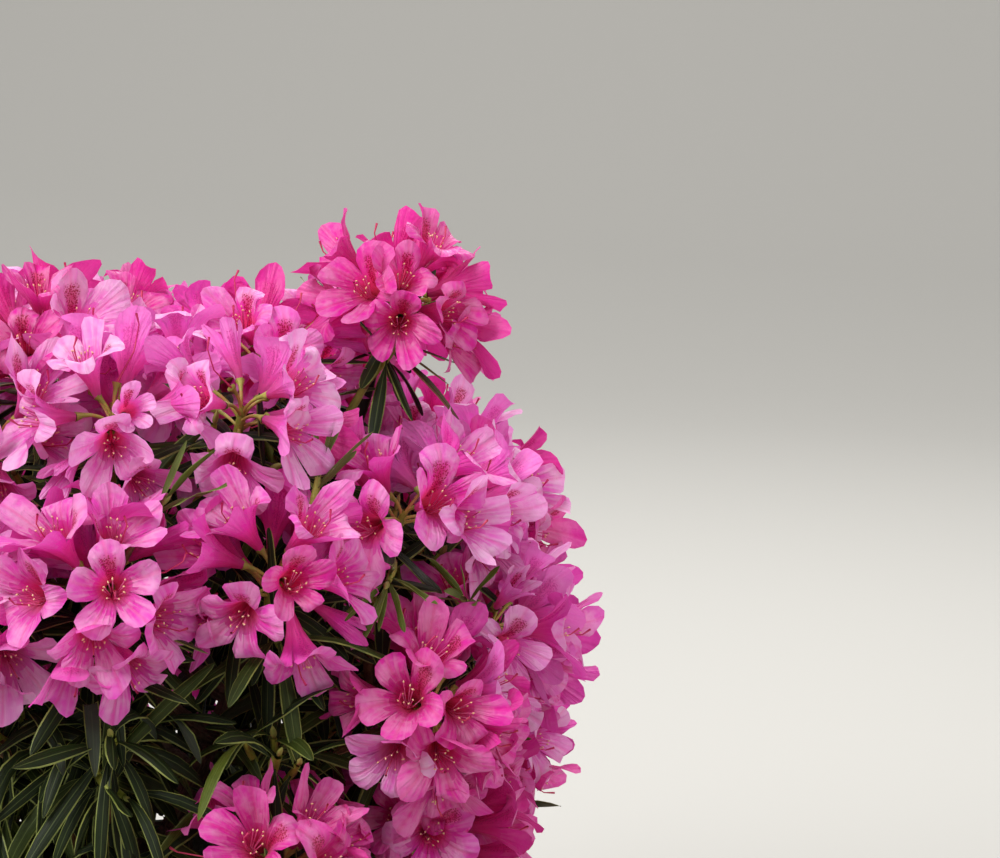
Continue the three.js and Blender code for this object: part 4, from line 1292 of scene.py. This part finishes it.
def petal_material(tint, region):
    """The finish of one region of the petals of one tint."""
    made, tree, shader = finish(f"petal {tint['name']} {region}", PETAL_ROUGHNESS, PETAL_SPECULAR)
    first, last, start, end, light_through = PETAL_REGIONS[region]
    along = add(tree, "ShaderNodeAttribute", {}, attribute_name="along").outputs["Fac"]
    onward = ramp(tree, along, start, end)
    colour = mixed(tree, onward, shade(*tint[first]), shade(*tint[last]))
    # The pale colour of the streaks and clouds is a painted sheen; in the streaks it is partly veins as
    # well.
    lift = tint["lift"] if "blade" in region else HEART_SHEEN_LIFT * tint["lift"]
    pale = mixed(tree, onward, lighter(shade(*tint[first]), lift), lighter(shade(*tint[last]), lift))
    streaks = use(tree, streaking, Colour=colour, Streak_Colour=pale, Streaks=5.0, Amount=0.48, Midrib=0.14)
    cloudy = {"Scale": 62.0, "Cover": 0.46, "Amount": 0.8, "Grain": 4.0}
    clouds = use(tree, mottling, Colour=streaks["Colour"], Second_Colour=pale, **cloudy)
    vein = math_node(tree, "MULTIPLY", streaks["Midrib"], VEIN_AMOUNT)
    inside = mixed(tree, vein, clouds["Colour"], shade(*tint["heart"]))
    inside = with_marks(tree, tint, region, along, inside)
    outside = lighter(shade(*tint["blade"]), OUTSIDE_PALENESS)
    behind = add(tree, "ShaderNodeNewGeometry", {}).outputs["Backfacing"]
    turned_away = math_node(tree, "MULTIPLY", behind, OUTSIDE_AMOUNT)
    tree.links.new(mixed(tree, turned_away, inside, outside), shader.inputs["Base Color"])
    shader.inputs["Sheen Weight"].default_value = PETAL_SHEEN
    grain = math_node(tree, "MULTIPLY", clouds["Height"], CLOUD_RELIEF)
    bump(tree, shader, math_node(tree, "ADD", streaks["Height"], grain), *PETAL_RELIEF)
    even = with_marks(tree, tint, region, along, mixed(tree, GLOW_PALENESS, colour, pale))
    lit = mixed(tree, turned_away, even, outside)
    glow = add(tree, "ShaderNodeGamma", {"Color": lit, "Gamma": GLOW_DEPTH})
    through = add(tree, "ShaderNodeBsdfTranslucent", {"Color": glow.outputs["Color"]}).outputs["BSDF"]
    both = add(tree, "ShaderNodeMixShader", {0: light_through, 1: shader.outputs["BSDF"], 2: through})
    tree.links.new(both.outputs["Shader"], tree.nodes["Material Output"].inputs["Surface"])
    return made


petal_materials = [[petal_material(colours, region) for region in PETAL_REGIONS] for colours in PETAL_TINTS]
print(sum(len(materials) for materials in petal_materials), "petal materials")

# %% [markdown]
# Leaves are smoother above than below. Tints are dealt out by spray: most are dark, some olive, and a few
# light green, as young leaves are. A few single leaves are brown. The pale edge, a painted highlight where
# the margins catch the light, is its own plain material.

# %% Leaf materials
LEAF_TINTS = {  # a leaf's colour, and that of its streaks and clouds
    "dark": ((17, 26, 7), (28, 40, 12)),
    "olive": ((36, 46, 13), (54, 66, 21)),
    "young": ((66, 78, 24), (94, 106, 36)),
    "brown": ((62, 42, 22), (88, 64, 36)),
}
MIDRIB_COLOUR = shade(124, 140, 76)
MIDRIB_AMOUNT = 0.25
UNDERSIDE_AMOUNT = 0.7
UNDERSIDE_PALENESS = 0.04
LEAF_ROUGHNESS = 0.48
UNDERSIDE_ROUGHER = 0.25
LEAF_SPECULAR = 0.17
LEAF_RELIEF = (0.4, 0.0005)


def leaf_material(name, colour, second):
    """The finish of the blades of one tint."""
    made, tree, shader = finish(f"leaf {name}", LEAF_ROUGHNESS, LEAF_SPECULAR)
    first, second = shade(*colour), shade(*second)
    streaks = use(tree, streaking, Colour=first, Streak_Colour=second, Streaks=6.0, Amount=0.55, Midrib=0.1)
    cloudy = use(tree, mottling, Colour=streaks["Colour"], Second_Colour=second, Scale=60.0, Amount=0.4)
    vein = math_node(tree, "MULTIPLY", streaks["Midrib"], MIDRIB_AMOUNT)
    upper = mixed(tree, vein, cloudy["Colour"], MIDRIB_COLOUR)
    behind = add(tree, "ShaderNodeNewGeometry", {}).outputs["Backfacing"]
    turned_away = math_node(tree, "MULTIPLY", behind, UNDERSIDE_AMOUNT)
    under = lighter(second, UNDERSIDE_PALENESS)
    tree.links.new(mixed(tree, turned_away, upper, under), shader.inputs["Base Color"])
    roughness = math_node(tree, "MULTIPLY_ADD", behind, UNDERSIDE_ROUGHER, LEAF_ROUGHNESS)
    tree.links.new(roughness, shader.inputs["Roughness"])
    bump(tree, shader, streaks["Height"], *LEAF_RELIEF)
    return made


leaf_materials = [leaf_material(name, *colours) for name, colours in LEAF_TINTS.items()]
print(len(leaf_materials), "leaf materials")


# %% Plain materials
PLAIN_STRENGTH = 0.5


def plain_material(name, colour, second, roughness, scale=90.0, depth=0.0006, specular=0.4):
    """A finish with mottling and a little relief."""
    made, tree, shader = finish(name, roughness, specular)
    first, second = shade(*colour), shade(*second)
    cloudy = use(tree, mottling, Colour=first, Second_Colour=second, Scale=scale, Amount=0.9)
    tree.links.new(cloudy["Colour"], shader.inputs["Base Color"])
    bump(tree, shader, cloudy["Height"], PLAIN_STRENGTH, depth)
    return made


# The paler colours of the leaf edges are a painted highlight where the margins catch the light.
highlit_edge_material = plain_material("leaf highlight edge", (86, 98, 38), (128, 134, 62), 0.55)
highlit_edge_brown = plain_material("leaf highlight edge brown", (104, 76, 42), (130, 100, 60), 0.6)
thread_material = plain_material("stamen thread", (214, 66, 132), (234, 128, 176), 0.5)
anther_material = plain_material("anther", (222, 168, 128), (240, 204, 164), 0.7)
style_material = plain_material("style", (196, 40, 108), (214, 84, 110), 0.5)
stalk_material = plain_material("flower stalk", (168, 164, 70), (186, 132, 84), 0.5)
cup_material = plain_material("flower cup", (138, 146, 60), (168, 160, 76), 0.55)
shoot_material = plain_material("young shoot", (116, 124, 40), (150, 148, 58), 0.5)
wood_material = plain_material("twig wood", (96, 66, 44), (132, 98, 66), 0.8, 120.0, 0.001)
bud_material = plain_material("bud", (126, 138, 60), (158, 150, 78), 0.5)
print(len(bpy.data.materials), "materials so far")

# %% [markdown]
# ## The crown's pieces
#
# Each kind of thing is one piece, or two or three where it would pass 200,000 triangles. They stand for
# the masses together, because flowers, leaves and twigs of one mass lie among each other. The low mass in
# front is the leafy skirt's, and has no flowers.

# %% Flowers
in_bloom = [mass for mass in all_masses if any(shoot["blooms"] for shoot in mass["shoots"])]
bloom_nodes = ["mass_" + mass["name"] for mass in in_bloom]
for k, colours in enumerate(PETAL_TINTS):
    chosen = np.flatnonzero((tint == k) & ~spent)
    piece(f"petals_{colours['name']}", [corollas(chosen)], petal_materials[k], bloom_nodes)

# %% Stamens, styles and stalks
flower_frames = (flower_feet, facing, upper, flower_size)
with_stamens = [values[~half_open & ~spent] for values in flower_frames]
with_style = [values[~half_open] for values in flower_frames]
stamen_chunks = stamens(*with_stamens) + [styles(*with_style)]
piece("stamens", stamen_chunks, [thread_material, anther_material, style_material], bloom_nodes)
piece("flower_stalks", [stalks()], [stalk_material, cup_material], mass_nodes)

# %% Dealing out the leaves' tints
DARK, OLIVE, YOUNG, BROWN = range(len(LEAF_TINTS))
LEAF_SHARES = [0.62, 0.27, 0.075]  # dark, olive and young. The rest are dark as well
SPRAY_SCATTER = 0.09
BROWN_SHARE = 0.015
NEXT_SPRAY = -0.05  # leaves grow larger down a spray, so a change below this is where one starts

spray_of_leaf = np.cumsum(np.concatenate([[0], np.diff(leaf_scale) < NEXT_SPRAY]).astype(int))
spray_lot = rng.random(spray_of_leaf[-1] + 1)[spray_of_leaf]
leaf_lot = np.clip(spray_lot + rng.normal(0, SPRAY_SCATTER, leaf_count), 0, 0.999)
leaf_tint = np.digitize(leaf_lot, np.cumsum(LEAF_SHARES))
leaf_tint[leaf_tint == len(LEAF_SHARES)] = DARK
leaf_tint[rng.random(leaf_count) < BROWN_SHARE] = BROWN
leaf_tint[in_tuft] = YOUNG
print("leaves by tint", [int((kept & (leaf_tint == k)).sum()) for k in (DARK, OLIVE, YOUNG, BROWN)])

# %% Leaves
LEAF_PIECES = {"dark": [DARK], "light": [OLIVE, YOUNG, BROWN]}

for name, tints in LEAF_PIECES.items():
    chunks = []
    finishes = []
    for k in tints:
        chunks.append(leaves(np.flatnonzero(kept & (leaf_tint == k)), len(finishes)))
        finishes += [leaf_materials[k], highlit_edge_brown if k == BROWN else highlit_edge_material]
    piece(f"leaves_{name}", chunks, finishes, mass_nodes)

# %% [markdown]
# Twigs are brown near the bough and green where they are young. Each is thickest at its foot and swells
# again where the whorl of leaves stands. A leafy twig ends in a fat pointed bud, next year's growth.

# %% Twigs
MASS_STEM_RADII = (0.0036, 0.0028)
TWIG_RADII = (0.0028, 0.0023)
SPRIG_RADII = (0.0019, 0.0015)
GREEN_LENGTH = 0.065  # how much of a twig is still young
GREEN_SPRIG_LENGTH = 0.03
WHORL_SWELLING = 0.35
SWELLING_BACK = 0.012  # from the twig's end
SWELLING_LENGTH = 0.008
ROUGHNESS_OF_TWIGS = 0.04


def twig_tubes(lines, radii, rings, sides, green_length):
    """The chunk of round twigs along lines. Slots: 0 wood, 1 young."""
    shares = np.linspace(0, 1, rings)
    centres = np.array([line.at(shares) for line in lines])
    lengths = np.array([line.length for line in lines])[:, None]
    back = (1 - shares) * lengths
    swelling = WHORL_SWELLING * np.exp(-(((back - SWELLING_BACK) / SWELLING_LENGTH) ** 2))
    thick = mix(radii[0], radii[1], shares) * (1 + swelling)
    thick = thick * (1 + rng.normal(0, ROUGHNESS_OF_TWIGS, thick.shape))
    face_back = (back[:, :-1] + back[:, 1:]) / 2
    slots = np.repeat((face_back < green_length).astype(int).reshape(-1), sides)
    return tubes(centres, thick, sides, slots)


# %% Buds
BUD_SHARES = np.array([0, 0.18, 0.42, 0.68, 0.88, 1.0])
BUD_WIDTHS = np.array([0.5, 0.86, 1.0, 0.74, 0.36, 0.04])
BUD_LENGTH = (0.006, 0.010)
BUD_WIDTH = (0.0028, 0.0042)
BUD_SIDES = 6


def buds(ends, directions, length, width):
    """The chunk of pointed buds. Slot: 2."""
    centres = ends[:, None] + directions[:, None] * (length[:, None] * BUD_SHARES)[..., None]
    return tubes(centres, width[:, None] / 2 * BUD_WIDTHS, BUD_SIDES, 2)


# %% The piece of twigs and buds
mass_stem_lines = [mass["stem"] for mass in all_masses]
twig_lines = [shoot["line"] for shoot in shoots]
mass_stems = twig_tubes(mass_stem_lines, MASS_STEM_RADII, rings=12, sides=8, green_length=0)
twigs = twig_tubes(twig_lines, TWIG_RADII, rings=16, sides=7, green_length=GREEN_LENGTH)
sprigs = twig_tubes(sprig_lines + tufts, SPRIG_RADII, rings=8, sides=6, green_length=GREEN_SPRIG_LENGTH)

bud_lines = [shoot["line"] for shoot in leafy_shoots] + sprig_lines + tufts
bud_ends = np.array([line.at(1.0) for line in bud_lines])
bud_directions = np.array([line.tangent(1.0) for line in bud_lines])
bud_length = rng.uniform(*BUD_LENGTH, len(bud_lines))
bud_width = rng.uniform(*BUD_WIDTH, len(bud_lines))
bud_chunk = buds(bud_ends, bud_directions, bud_length, bud_width)
twig_finishes = [wood_material, shoot_material, bud_material]
piece("twigs", [mass_stems, twigs, sprigs, bud_chunk], twig_finishes, mass_nodes)

# %% The heads' own short axes, which carry the flower stalks on beyond the twigs
AXIS_LENGTH = 0.009
AXIS_BEND = 0.004
AXIS_RADII = (0.0022, 0.0016)

head_lines = []
for head in blooming:
    end = head["end"] + head["axis"] * AXIS_LENGTH
    head_lines.append(Line(head["end"], head["end"] + head["axis"] * AXIS_BEND, end))
head_axis_tubes = twig_tubes(head_lines, AXIS_RADII, rings=4, sides=7, green_length=1)
piece("head_axes", [head_axis_tubes], twig_finishes[:2], bloom_nodes)

# %% [markdown]
# ## Stem and boughs
#
# The old wood is one skin per limb, with open ends that are hidden in the soil, in another limb or in a
# mass. Its bark is real relief: long ridges that run with the limb, made by moving each point in or out
# by a noise that is stretched along the limb. Bump alone would leave the outline smooth.

# %% Bark as relief
RIDGE_DEPTH = 0.0011
RIDGES_FULL = 0.006  # on a limb thinner than this radius the ridges are shallower
RIDGES_ROUND = 1.5  # how fast the noise changes round a limb, and how fast along it
RIDGES_ALONG = 28
RIDGE_SIZES = [(2.3, 1), (5.1, 0.5)]  # how closely wide and narrow ridges lie, and their part of the depth


def relief(centres, radii, sides):
    """The chunk of one limb with ridged bark."""
    made = tubes(centres[None], radii[None], sides)
    points = made["points"].reshape(len(centres), sides, 3)
    lengths = np.concatenate([[0], np.cumsum(np.linalg.norm(np.diff(centres, axis=0), axis=1))])
    turn = np.linspace(0, 2 * np.pi, sides, endpoint=False)
    for i, centre in enumerate(centres):
        thin = min(1, radii[i] / RIDGES_FULL)
        for j in range(sides):
            outward = points[i, j] - centre
            outward /= max(1e-6, np.linalg.norm(outward))
            level = (RIDGES_ROUND * math.cos(turn[j]), RIDGES_ROUND * math.sin(turn[j]))
            around = Vector((*level, lengths[i] * RIDGES_ALONG))
            ridge = sum(part * noise.noise(around * close) for close, part in RIDGE_SIZES)
            points[i, j] += outward * RIDGE_DEPTH * thin * ridge
    made["points"] = points.reshape(-1, 3)
    made["marks"] = {"along": np.repeat(lengths, sides), "across": np.tile(turn, len(centres)) / np.pi - 1}
    return made


# %% Limbs
STEM_FOOT_RADIUS = 0.015
STEM_TOP_RADIUS = 0.0125
STEM_RINGS = 34
STEM_SIDES = 56
KNUCKLE_RADIUS = 0.017
KNUCKLE_FLATNESS = 0.8
KNUCKLE_TILTS = (-30, 84, 12)  # degrees of its lowest and highest ring, and how many there are
FLARE = 0.017
FLARE_HEIGHT = 0.034
FLARE_ROOTS = 5
FLARE_TURN = 1  # moves the roots round the stem
BOUGH_TIP_RADIUS = 0.0038
BOUGH_RINGS = 44
BOUGH_SIDES = 22
LIMB_TAPER = 0.8


def stem_chunk():
    """The chunk of the stem, with its root flare and the dome of its knuckle."""
    shares = np.linspace(0, 1, STEM_RINGS)
    centres = mix(STEM_FOOT, FORK, shares[:, None])
    radii = mix(STEM_FOOT_RADIUS, STEM_TOP_RADIUS, shares)
    tilts = np.radians(np.linspace(*KNUCKLE_TILTS))
    dome = FORK + UP * (KNUCKLE_RADIUS * KNUCKLE_FLATNESS * np.sin(tilts))[:, None]
    keep = centres[:, 2] < dome[0, 2]
    centres = np.concatenate([centres[keep], dome])
    radii = np.concatenate([radii[keep], KNUCKLE_RADIUS * np.cos(tilts)])
    made = relief(centres, radii, STEM_SIDES)
    points = made["points"].reshape(len(centres), STEM_SIDES, 3)
    turn = np.arctan2(points[..., 1] - centres[:, None, 1], points[..., 0] - centres[:, None, 0])
    rise = (centres[:, 2] - SOIL_TOP)[:, None]
    lobed = 0.5 + 0.5 * np.cos(FLARE_ROOTS * turn + FLARE_TURN)
    root = FLARE * np.maximum(0, 1 - rise / FLARE_HEIGHT) ** 2 * lobed
    points[..., 0] += np.cos(turn) * root
    points[..., 1] += np.sin(turn) * root
    made["points"] = points.reshape(-1, 3)
    return made


def bough_chunk(mass):
    """The chunk of one bough, as far as its mass."""
    shares = np.linspace(0, 1, BOUGH_RINGS)
    radii = mix(mass["foot"], BOUGH_TIP_RADIUS, shares**LIMB_TAPER)
    return relief(mass["line"].at(shares), radii, BOUGH_SIDES)


# %% The bark's finish and the limbs' piece
BARK_RELIEF = (0.6, 0.0012)

bark_material, tree, shader = finish("bark", 0.85, 0.3)
brown, pale_brown, groove = shade(84, 60, 46), shade(142, 118, 96), shade(62, 42, 32)
cloudy = use(tree, mottling, Colour=brown, Second_Colour=pale_brown, Scale=55.0, Amount=0.8)
streaky = {"Streaks": 14.0, "Amount": 0.5, "Midrib": 0.01}
ridges = use(tree, streaking, Colour=cloudy["Colour"], Streak_Colour=groove, **streaky)
tree.links.new(ridges["Colour"], shader.inputs["Base Color"])
bump(tree, shader, math_node(tree, "ADD", ridges["Height"], cloudy["Height"]), *BARK_RELIEF)
limb_nodes = ["stem"] + ["bough_" + mass["name"] for mass in all_masses]
limb_chunks = [stem_chunk()] + [bough_chunk(mass) for mass in all_masses]
piece("limbs", limb_chunks, [bark_material], limb_nodes)

# %% [markdown]
# ## Pot and soil
#
# Both are turned shapes: a profile of corners, some of them rounded, swept round the upright axis. The
# pot is a plain fibre-clay one, cast in a mould, so its edges are soft and its wall has faint dents and
# pits.

# %% Turned shapes
POT_HEIGHT = pot_high.z
POT_TOP_RADIUS = 0.146
POT_BASE_RADIUS = 0.110
POT_WALL = 0.011
POT_FLOOR = 0.014
BAND_HEIGHT = 0.034
BAND_PROUD = 0.007
TURNED_SIDES = 128
CORNER_STEPS = 6


def rounded(corners):
    """A profile of (radius, height, rounding) corners as points, each corner with its own rounding."""
    made = []
    places = [np.array(corner[:2]) for corner in corners]
    for i, (place, corner) in enumerate(zip(places, corners)):
        if i in (0, len(places) - 1) or not corner[2]:
            made.append(place)
            continue
        before = place + unit(places[i - 1] - place) * corner[2]
        after = place + unit(places[i + 1] - place) * corner[2]
        for t in np.linspace(0, 1, CORNER_STEPS):
            made.append((1 - t) ** 2 * before + 2 * t * (1 - t) * place + t * t * after)
    return np.array(made)


def subdivided(profile, longest):
    """The same profile with no step longer than a length."""
    made = [profile[:1]]
    for a, b in zip(profile, profile[1:]):
        steps = max(1, math.ceil(np.linalg.norm(b - a) / longest))
        made.append(a + (b - a) * (np.arange(1, steps + 1) / steps)[:, None])
    return np.concatenate(made)


def turned(profile):
    """The points (rings, sides, 3) of a profile swept round the upright axis."""
    turn = np.linspace(0, 2 * np.pi, TURNED_SIDES, endpoint=False)
    circle = np.stack([np.cos(turn), np.sin(turn)], axis=-1)
    flat = profile[:, 0, None, None] * circle
    height = np.broadcast_to(profile[:, 1, None, None], flat.shape[:2] + (1,))
    return np.concatenate([flat, height], axis=-1)


def wall_radius(height):
    """The pot's outer radius at a height, without its collar."""
    return mix(POT_BASE_RADIUS, POT_TOP_RADIUS, height / POT_HEIGHT)


# %% The pot's shape
LONGEST_STEP = 0.02
DENT_DEPTH = 0.0008
DENTS = [(30, 0.5), (90, 0.25)]  # how closely wide and small dents lie, and their part of the depth
MOULDED_FROM = 0.003  # the flat underside below this height stays flat
AXIS_NEAR = 0.01  # and so do points nearer to the axis than this

band_foot = POT_HEIGHT - BAND_HEIGHT
pot_profile = rounded([
    (0, 0, 0),
    (POT_BASE_RADIUS, 0, 0.006),
    (wall_radius(band_foot), band_foot, 0.004),
    (wall_radius(band_foot) + BAND_PROUD, band_foot, 0.003),
    (POT_TOP_RADIUS + BAND_PROUD, POT_HEIGHT, 0.004),
    (POT_TOP_RADIUS - POT_WALL, POT_HEIGHT, 0.005),
    (wall_radius(POT_FLOOR) - POT_WALL, POT_FLOOR, 0.004),
    (0, POT_FLOOR, 0),
])
pot_points = turned(subdivided(pot_profile, LONGEST_STEP))
for place in pot_points.reshape(-1, 3):
    out = math.hypot(place[0], place[1])
    if out > AXIS_NEAR and MOULDED_FROM < place[2]:
        spot = Vector(place)
        dent = sum(part * noise.noise(spot * close) for close, part in DENTS)
        place[:2] *= 1 + dent * DENT_DEPTH / out
print("the pot has", len(pot_points), "rings")

# %% The pot's finish
PITS_SCALE = 420.0
PIT_EDGES = (0.22, 0.1)
PIT_AMOUNT = 0.5
POT_RELIEF = (0.5, 0.0008)

pot_material, tree, shader = finish("fibre clay", 0.88, 0.25)
clay, pale_clay = shade(116, 112, 106), shade(146, 142, 134)
cloudy = use(tree, mottling, Colour=clay, Second_Colour=pale_clay, Scale=22.0, Amount=0.8, Grain=14.0)
where = add(tree, "ShaderNodeTexCoord", {}).outputs["Object"]
pits = add(tree, "ShaderNodeTexVoronoi", {"Vector": where, "Scale": PITS_SCALE}).outputs["Distance"]
pit = ramp(tree, pits, *PIT_EDGES)
speck = mixed(tree, math_node(tree, "MULTIPLY", pit, PIT_AMOUNT), cloudy["Colour"], shade(70, 66, 60))
tree.links.new(speck, shader.inputs["Base Color"])
bump(tree, shader, math_node(tree, "SUBTRACT", cloudy["Height"], pit), *POT_RELIEF)
pot_chunk = chunk(pot_points, grid_faces(1, len(pot_points), TURNED_SIDES, True))
piece("pot_body", [pot_chunk], [pot_material], ["pot"])

# %% [markdown]
# Compost is a bed of crumbs and bark chips. The bed is a turned shape whose top is roughened by noise at
# two sizes, and a few hundred chips lie on it, each a short uneven limb that narrows at both ends.

# %% The bed of soil
SOIL_DISH = 0.006  # how much lower it is at the wall
SOIL_FLAT = 0.72  # of its radius, before it starts to fall
CRUMBS = [(60, 0.0022), (260, 0.0016)]  # how closely they lie, and how high they stand
SOIL_SINK = 0.0004
RIM_MARGIN = 0.001  # what lies less than this under the bed's rim is roughened too
SOIL_STEP = 0.011  # the longest step of its profile

soil_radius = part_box("soil")[1].x
soil_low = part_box("soil")[0].z
soil_profile = subdivided(rounded([
    (0, SOIL_TOP, 0),
    (soil_radius * SOIL_FLAT, SOIL_TOP, 0.01),
    (soil_radius, SOIL_TOP - SOIL_DISH, 0.0),
    (wall_radius(soil_low) - POT_WALL, soil_low, 0.003),
    (0, soil_low, 0),
]), SOIL_STEP)
soil_points = turned(soil_profile)
top = soil_points[..., 2] > SOIL_TOP - SOIL_DISH - RIM_MARGIN
crumbs = [sum(high * noise.noise(Vector(p) * close) for close, high in CRUMBS) for p in soil_points[top]]
soil_points[top, 2] += np.array(crumbs) - SOIL_SINK
soil_grid = chunk(soil_points, grid_faces(1, len(soil_points), TURNED_SIDES, True))
print("the bed of soil has", len(soil_points), "rings")

# %% Chips on the soil
CHIPS = 520
CHIP_SIZE = (0.0014, 0.0048)
CHIP_SHARES = np.array([-1, -0.6, 0, 0.6, 1])
CHIP_WIDTHS = np.array([0.05, 0.42, 0.55, 0.4, 0.05])
CHIP_SIDES = 6
CHIP_UNEVENNESS = (0.6, 1.1)
CHIP_RISE = 0.0004
CLEAR_MIDDLE = 0.04  # the part of the bed, round the stem, that is free of chips
WALL_CLEAR = 0.006
LYING_DOWN = [1, 1, 0.3]  # a chip's direction rises less than it runs

chip_turn = rng.uniform(0, 2 * np.pi, CHIPS)
chip_out = (soil_radius - WALL_CLEAR) * np.sqrt(rng.uniform(CLEAR_MIDDLE, 1, CHIPS))
chip_size = rng.uniform(*CHIP_SIZE, CHIPS)
chip_fall = SOIL_DISH * np.clip((chip_out / soil_radius - SOIL_FLAT) / (1 - SOIL_FLAT), 0, 1)
chip_height = SOIL_TOP - chip_fall + CHIP_RISE
chip_places = np.stack([chip_out * np.cos(chip_turn), chip_out * np.sin(chip_turn), chip_height], axis=-1)
chip_directions = unit(rng.normal(0, 1, (CHIPS, 3)) * LYING_DOWN)
chip_steps = (chip_size[:, None] * CHIP_SHARES)[..., None]
chip_centres = chip_places[:, None] + chip_directions[:, None] * chip_steps
chip_radii = chip_size[:, None] * CHIP_WIDTHS * rng.uniform(*CHIP_UNEVENNESS, (CHIPS, len(CHIP_SHARES)))
chip_faces = CHIP_SIDES * (len(CHIP_SHARES) - 1)
chips = tubes(chip_centres, chip_radii, CHIP_SIDES, rng.integers(0, 2, CHIPS).repeat(chip_faces))
soil_material = plain_material("compost", (44, 31, 24), (74, 54, 40), 0.95, 160.0, 0.002, 0.2)
chip_material = plain_material("bark chip", (78, 54, 38), (112, 84, 58), 0.9, 200.0, 0.001, 0.2)
piece("soil_bed", [soil_grid, chips], [soil_material, chip_material], ["soil"])

# %% [markdown]
# ## Stage and light
#
# A plain pale sweep carries the pot: flat where it stands, and curving up all round into a wall. Four
# soft lamps and an even sky light it. The key lamp stands high to the left and in front, where the light
# comes from in the photograph.

# %% Stage
FLAT_RADIUS = 3.0
WALL_RADIUS = 6.0
WALL_HEIGHT = 3.2
CURVE_POINTS = 18

curve = np.radians(np.linspace(0, 90, CURVE_POINTS))
curve_out = FLAT_RADIUS + (WALL_RADIUS - FLAT_RADIUS) * np.sin(curve)
curve_up = WALL_HEIGHT * (1 - np.cos(curve))
sweep = np.concatenate([[[0, 0], [1, 0]], np.stack([curve_out, curve_up], axis=-1)])
stage_points = turned(sweep)
mesh = bpy.data.meshes.new("stage")
stage_faces = grid_faces(1, len(stage_points), TURNED_SIDES, True).reshape(-1, 4)
mesh.from_pydata(stage_points.reshape(-1, 3).tolist(), [], stage_faces.tolist())
mesh.shade_smooth()
stage = bpy.data.objects.new("stage", mesh)
bpy.context.scene.collection.objects.link(stage)
stage_material, tree, shader = finish("stage", 0.95, 0.1)
shader.inputs["Base Color"].default_value = shade(184, 182, 177)
mesh.materials.append(stage_material)
print("the stage has", len(stage_faces), "faces")

# %% Lamps
LAMPS = {  # place, size and power
    "key": ((-1.5, -1.5, 2.6), 1.6, 95),
    "fill": ((2.2, -1.2, 1.2), 1.8, 18),
    "back": ((0.5, 1.7, 2.3), 1.2, 46),
    "ground": ((0.3, 3.2, 3.4), 3.0, 28),
}
LAMP_AIMS = {"ground": (0.3, 3.9, 0)}  # the others point at the middle of the shrub
SHRUB_MIDDLE = (0, 0, 0.45)
SKY_STRENGTH = 0.66

for name, (place, size, power) in LAMPS.items():
    light = bpy.data.lights.new(name, "AREA")
    light.shape = "DISK"
    light.size = size
    light.energy = power
    lamp = bpy.data.objects.new(name, light)
    lamp.location = place
    aim = Vector(LAMP_AIMS.get(name, SHRUB_MIDDLE))
    lamp.rotation_euler = (aim - Vector(place)).to_track_quat("-Z", "Y").to_euler()
    bpy.context.scene.collection.objects.link(lamp)

world = bpy.data.worlds.new("sky")
world.use_nodes = True
world.node_tree.nodes["Background"].inputs["Color"].default_value = (1, 1, 1, 1)
world.node_tree.nodes["Background"].inputs["Strength"].default_value = SKY_STRENGTH
bpy.context.scene.world = world
print(len(LAMPS), "lamps and a sky")
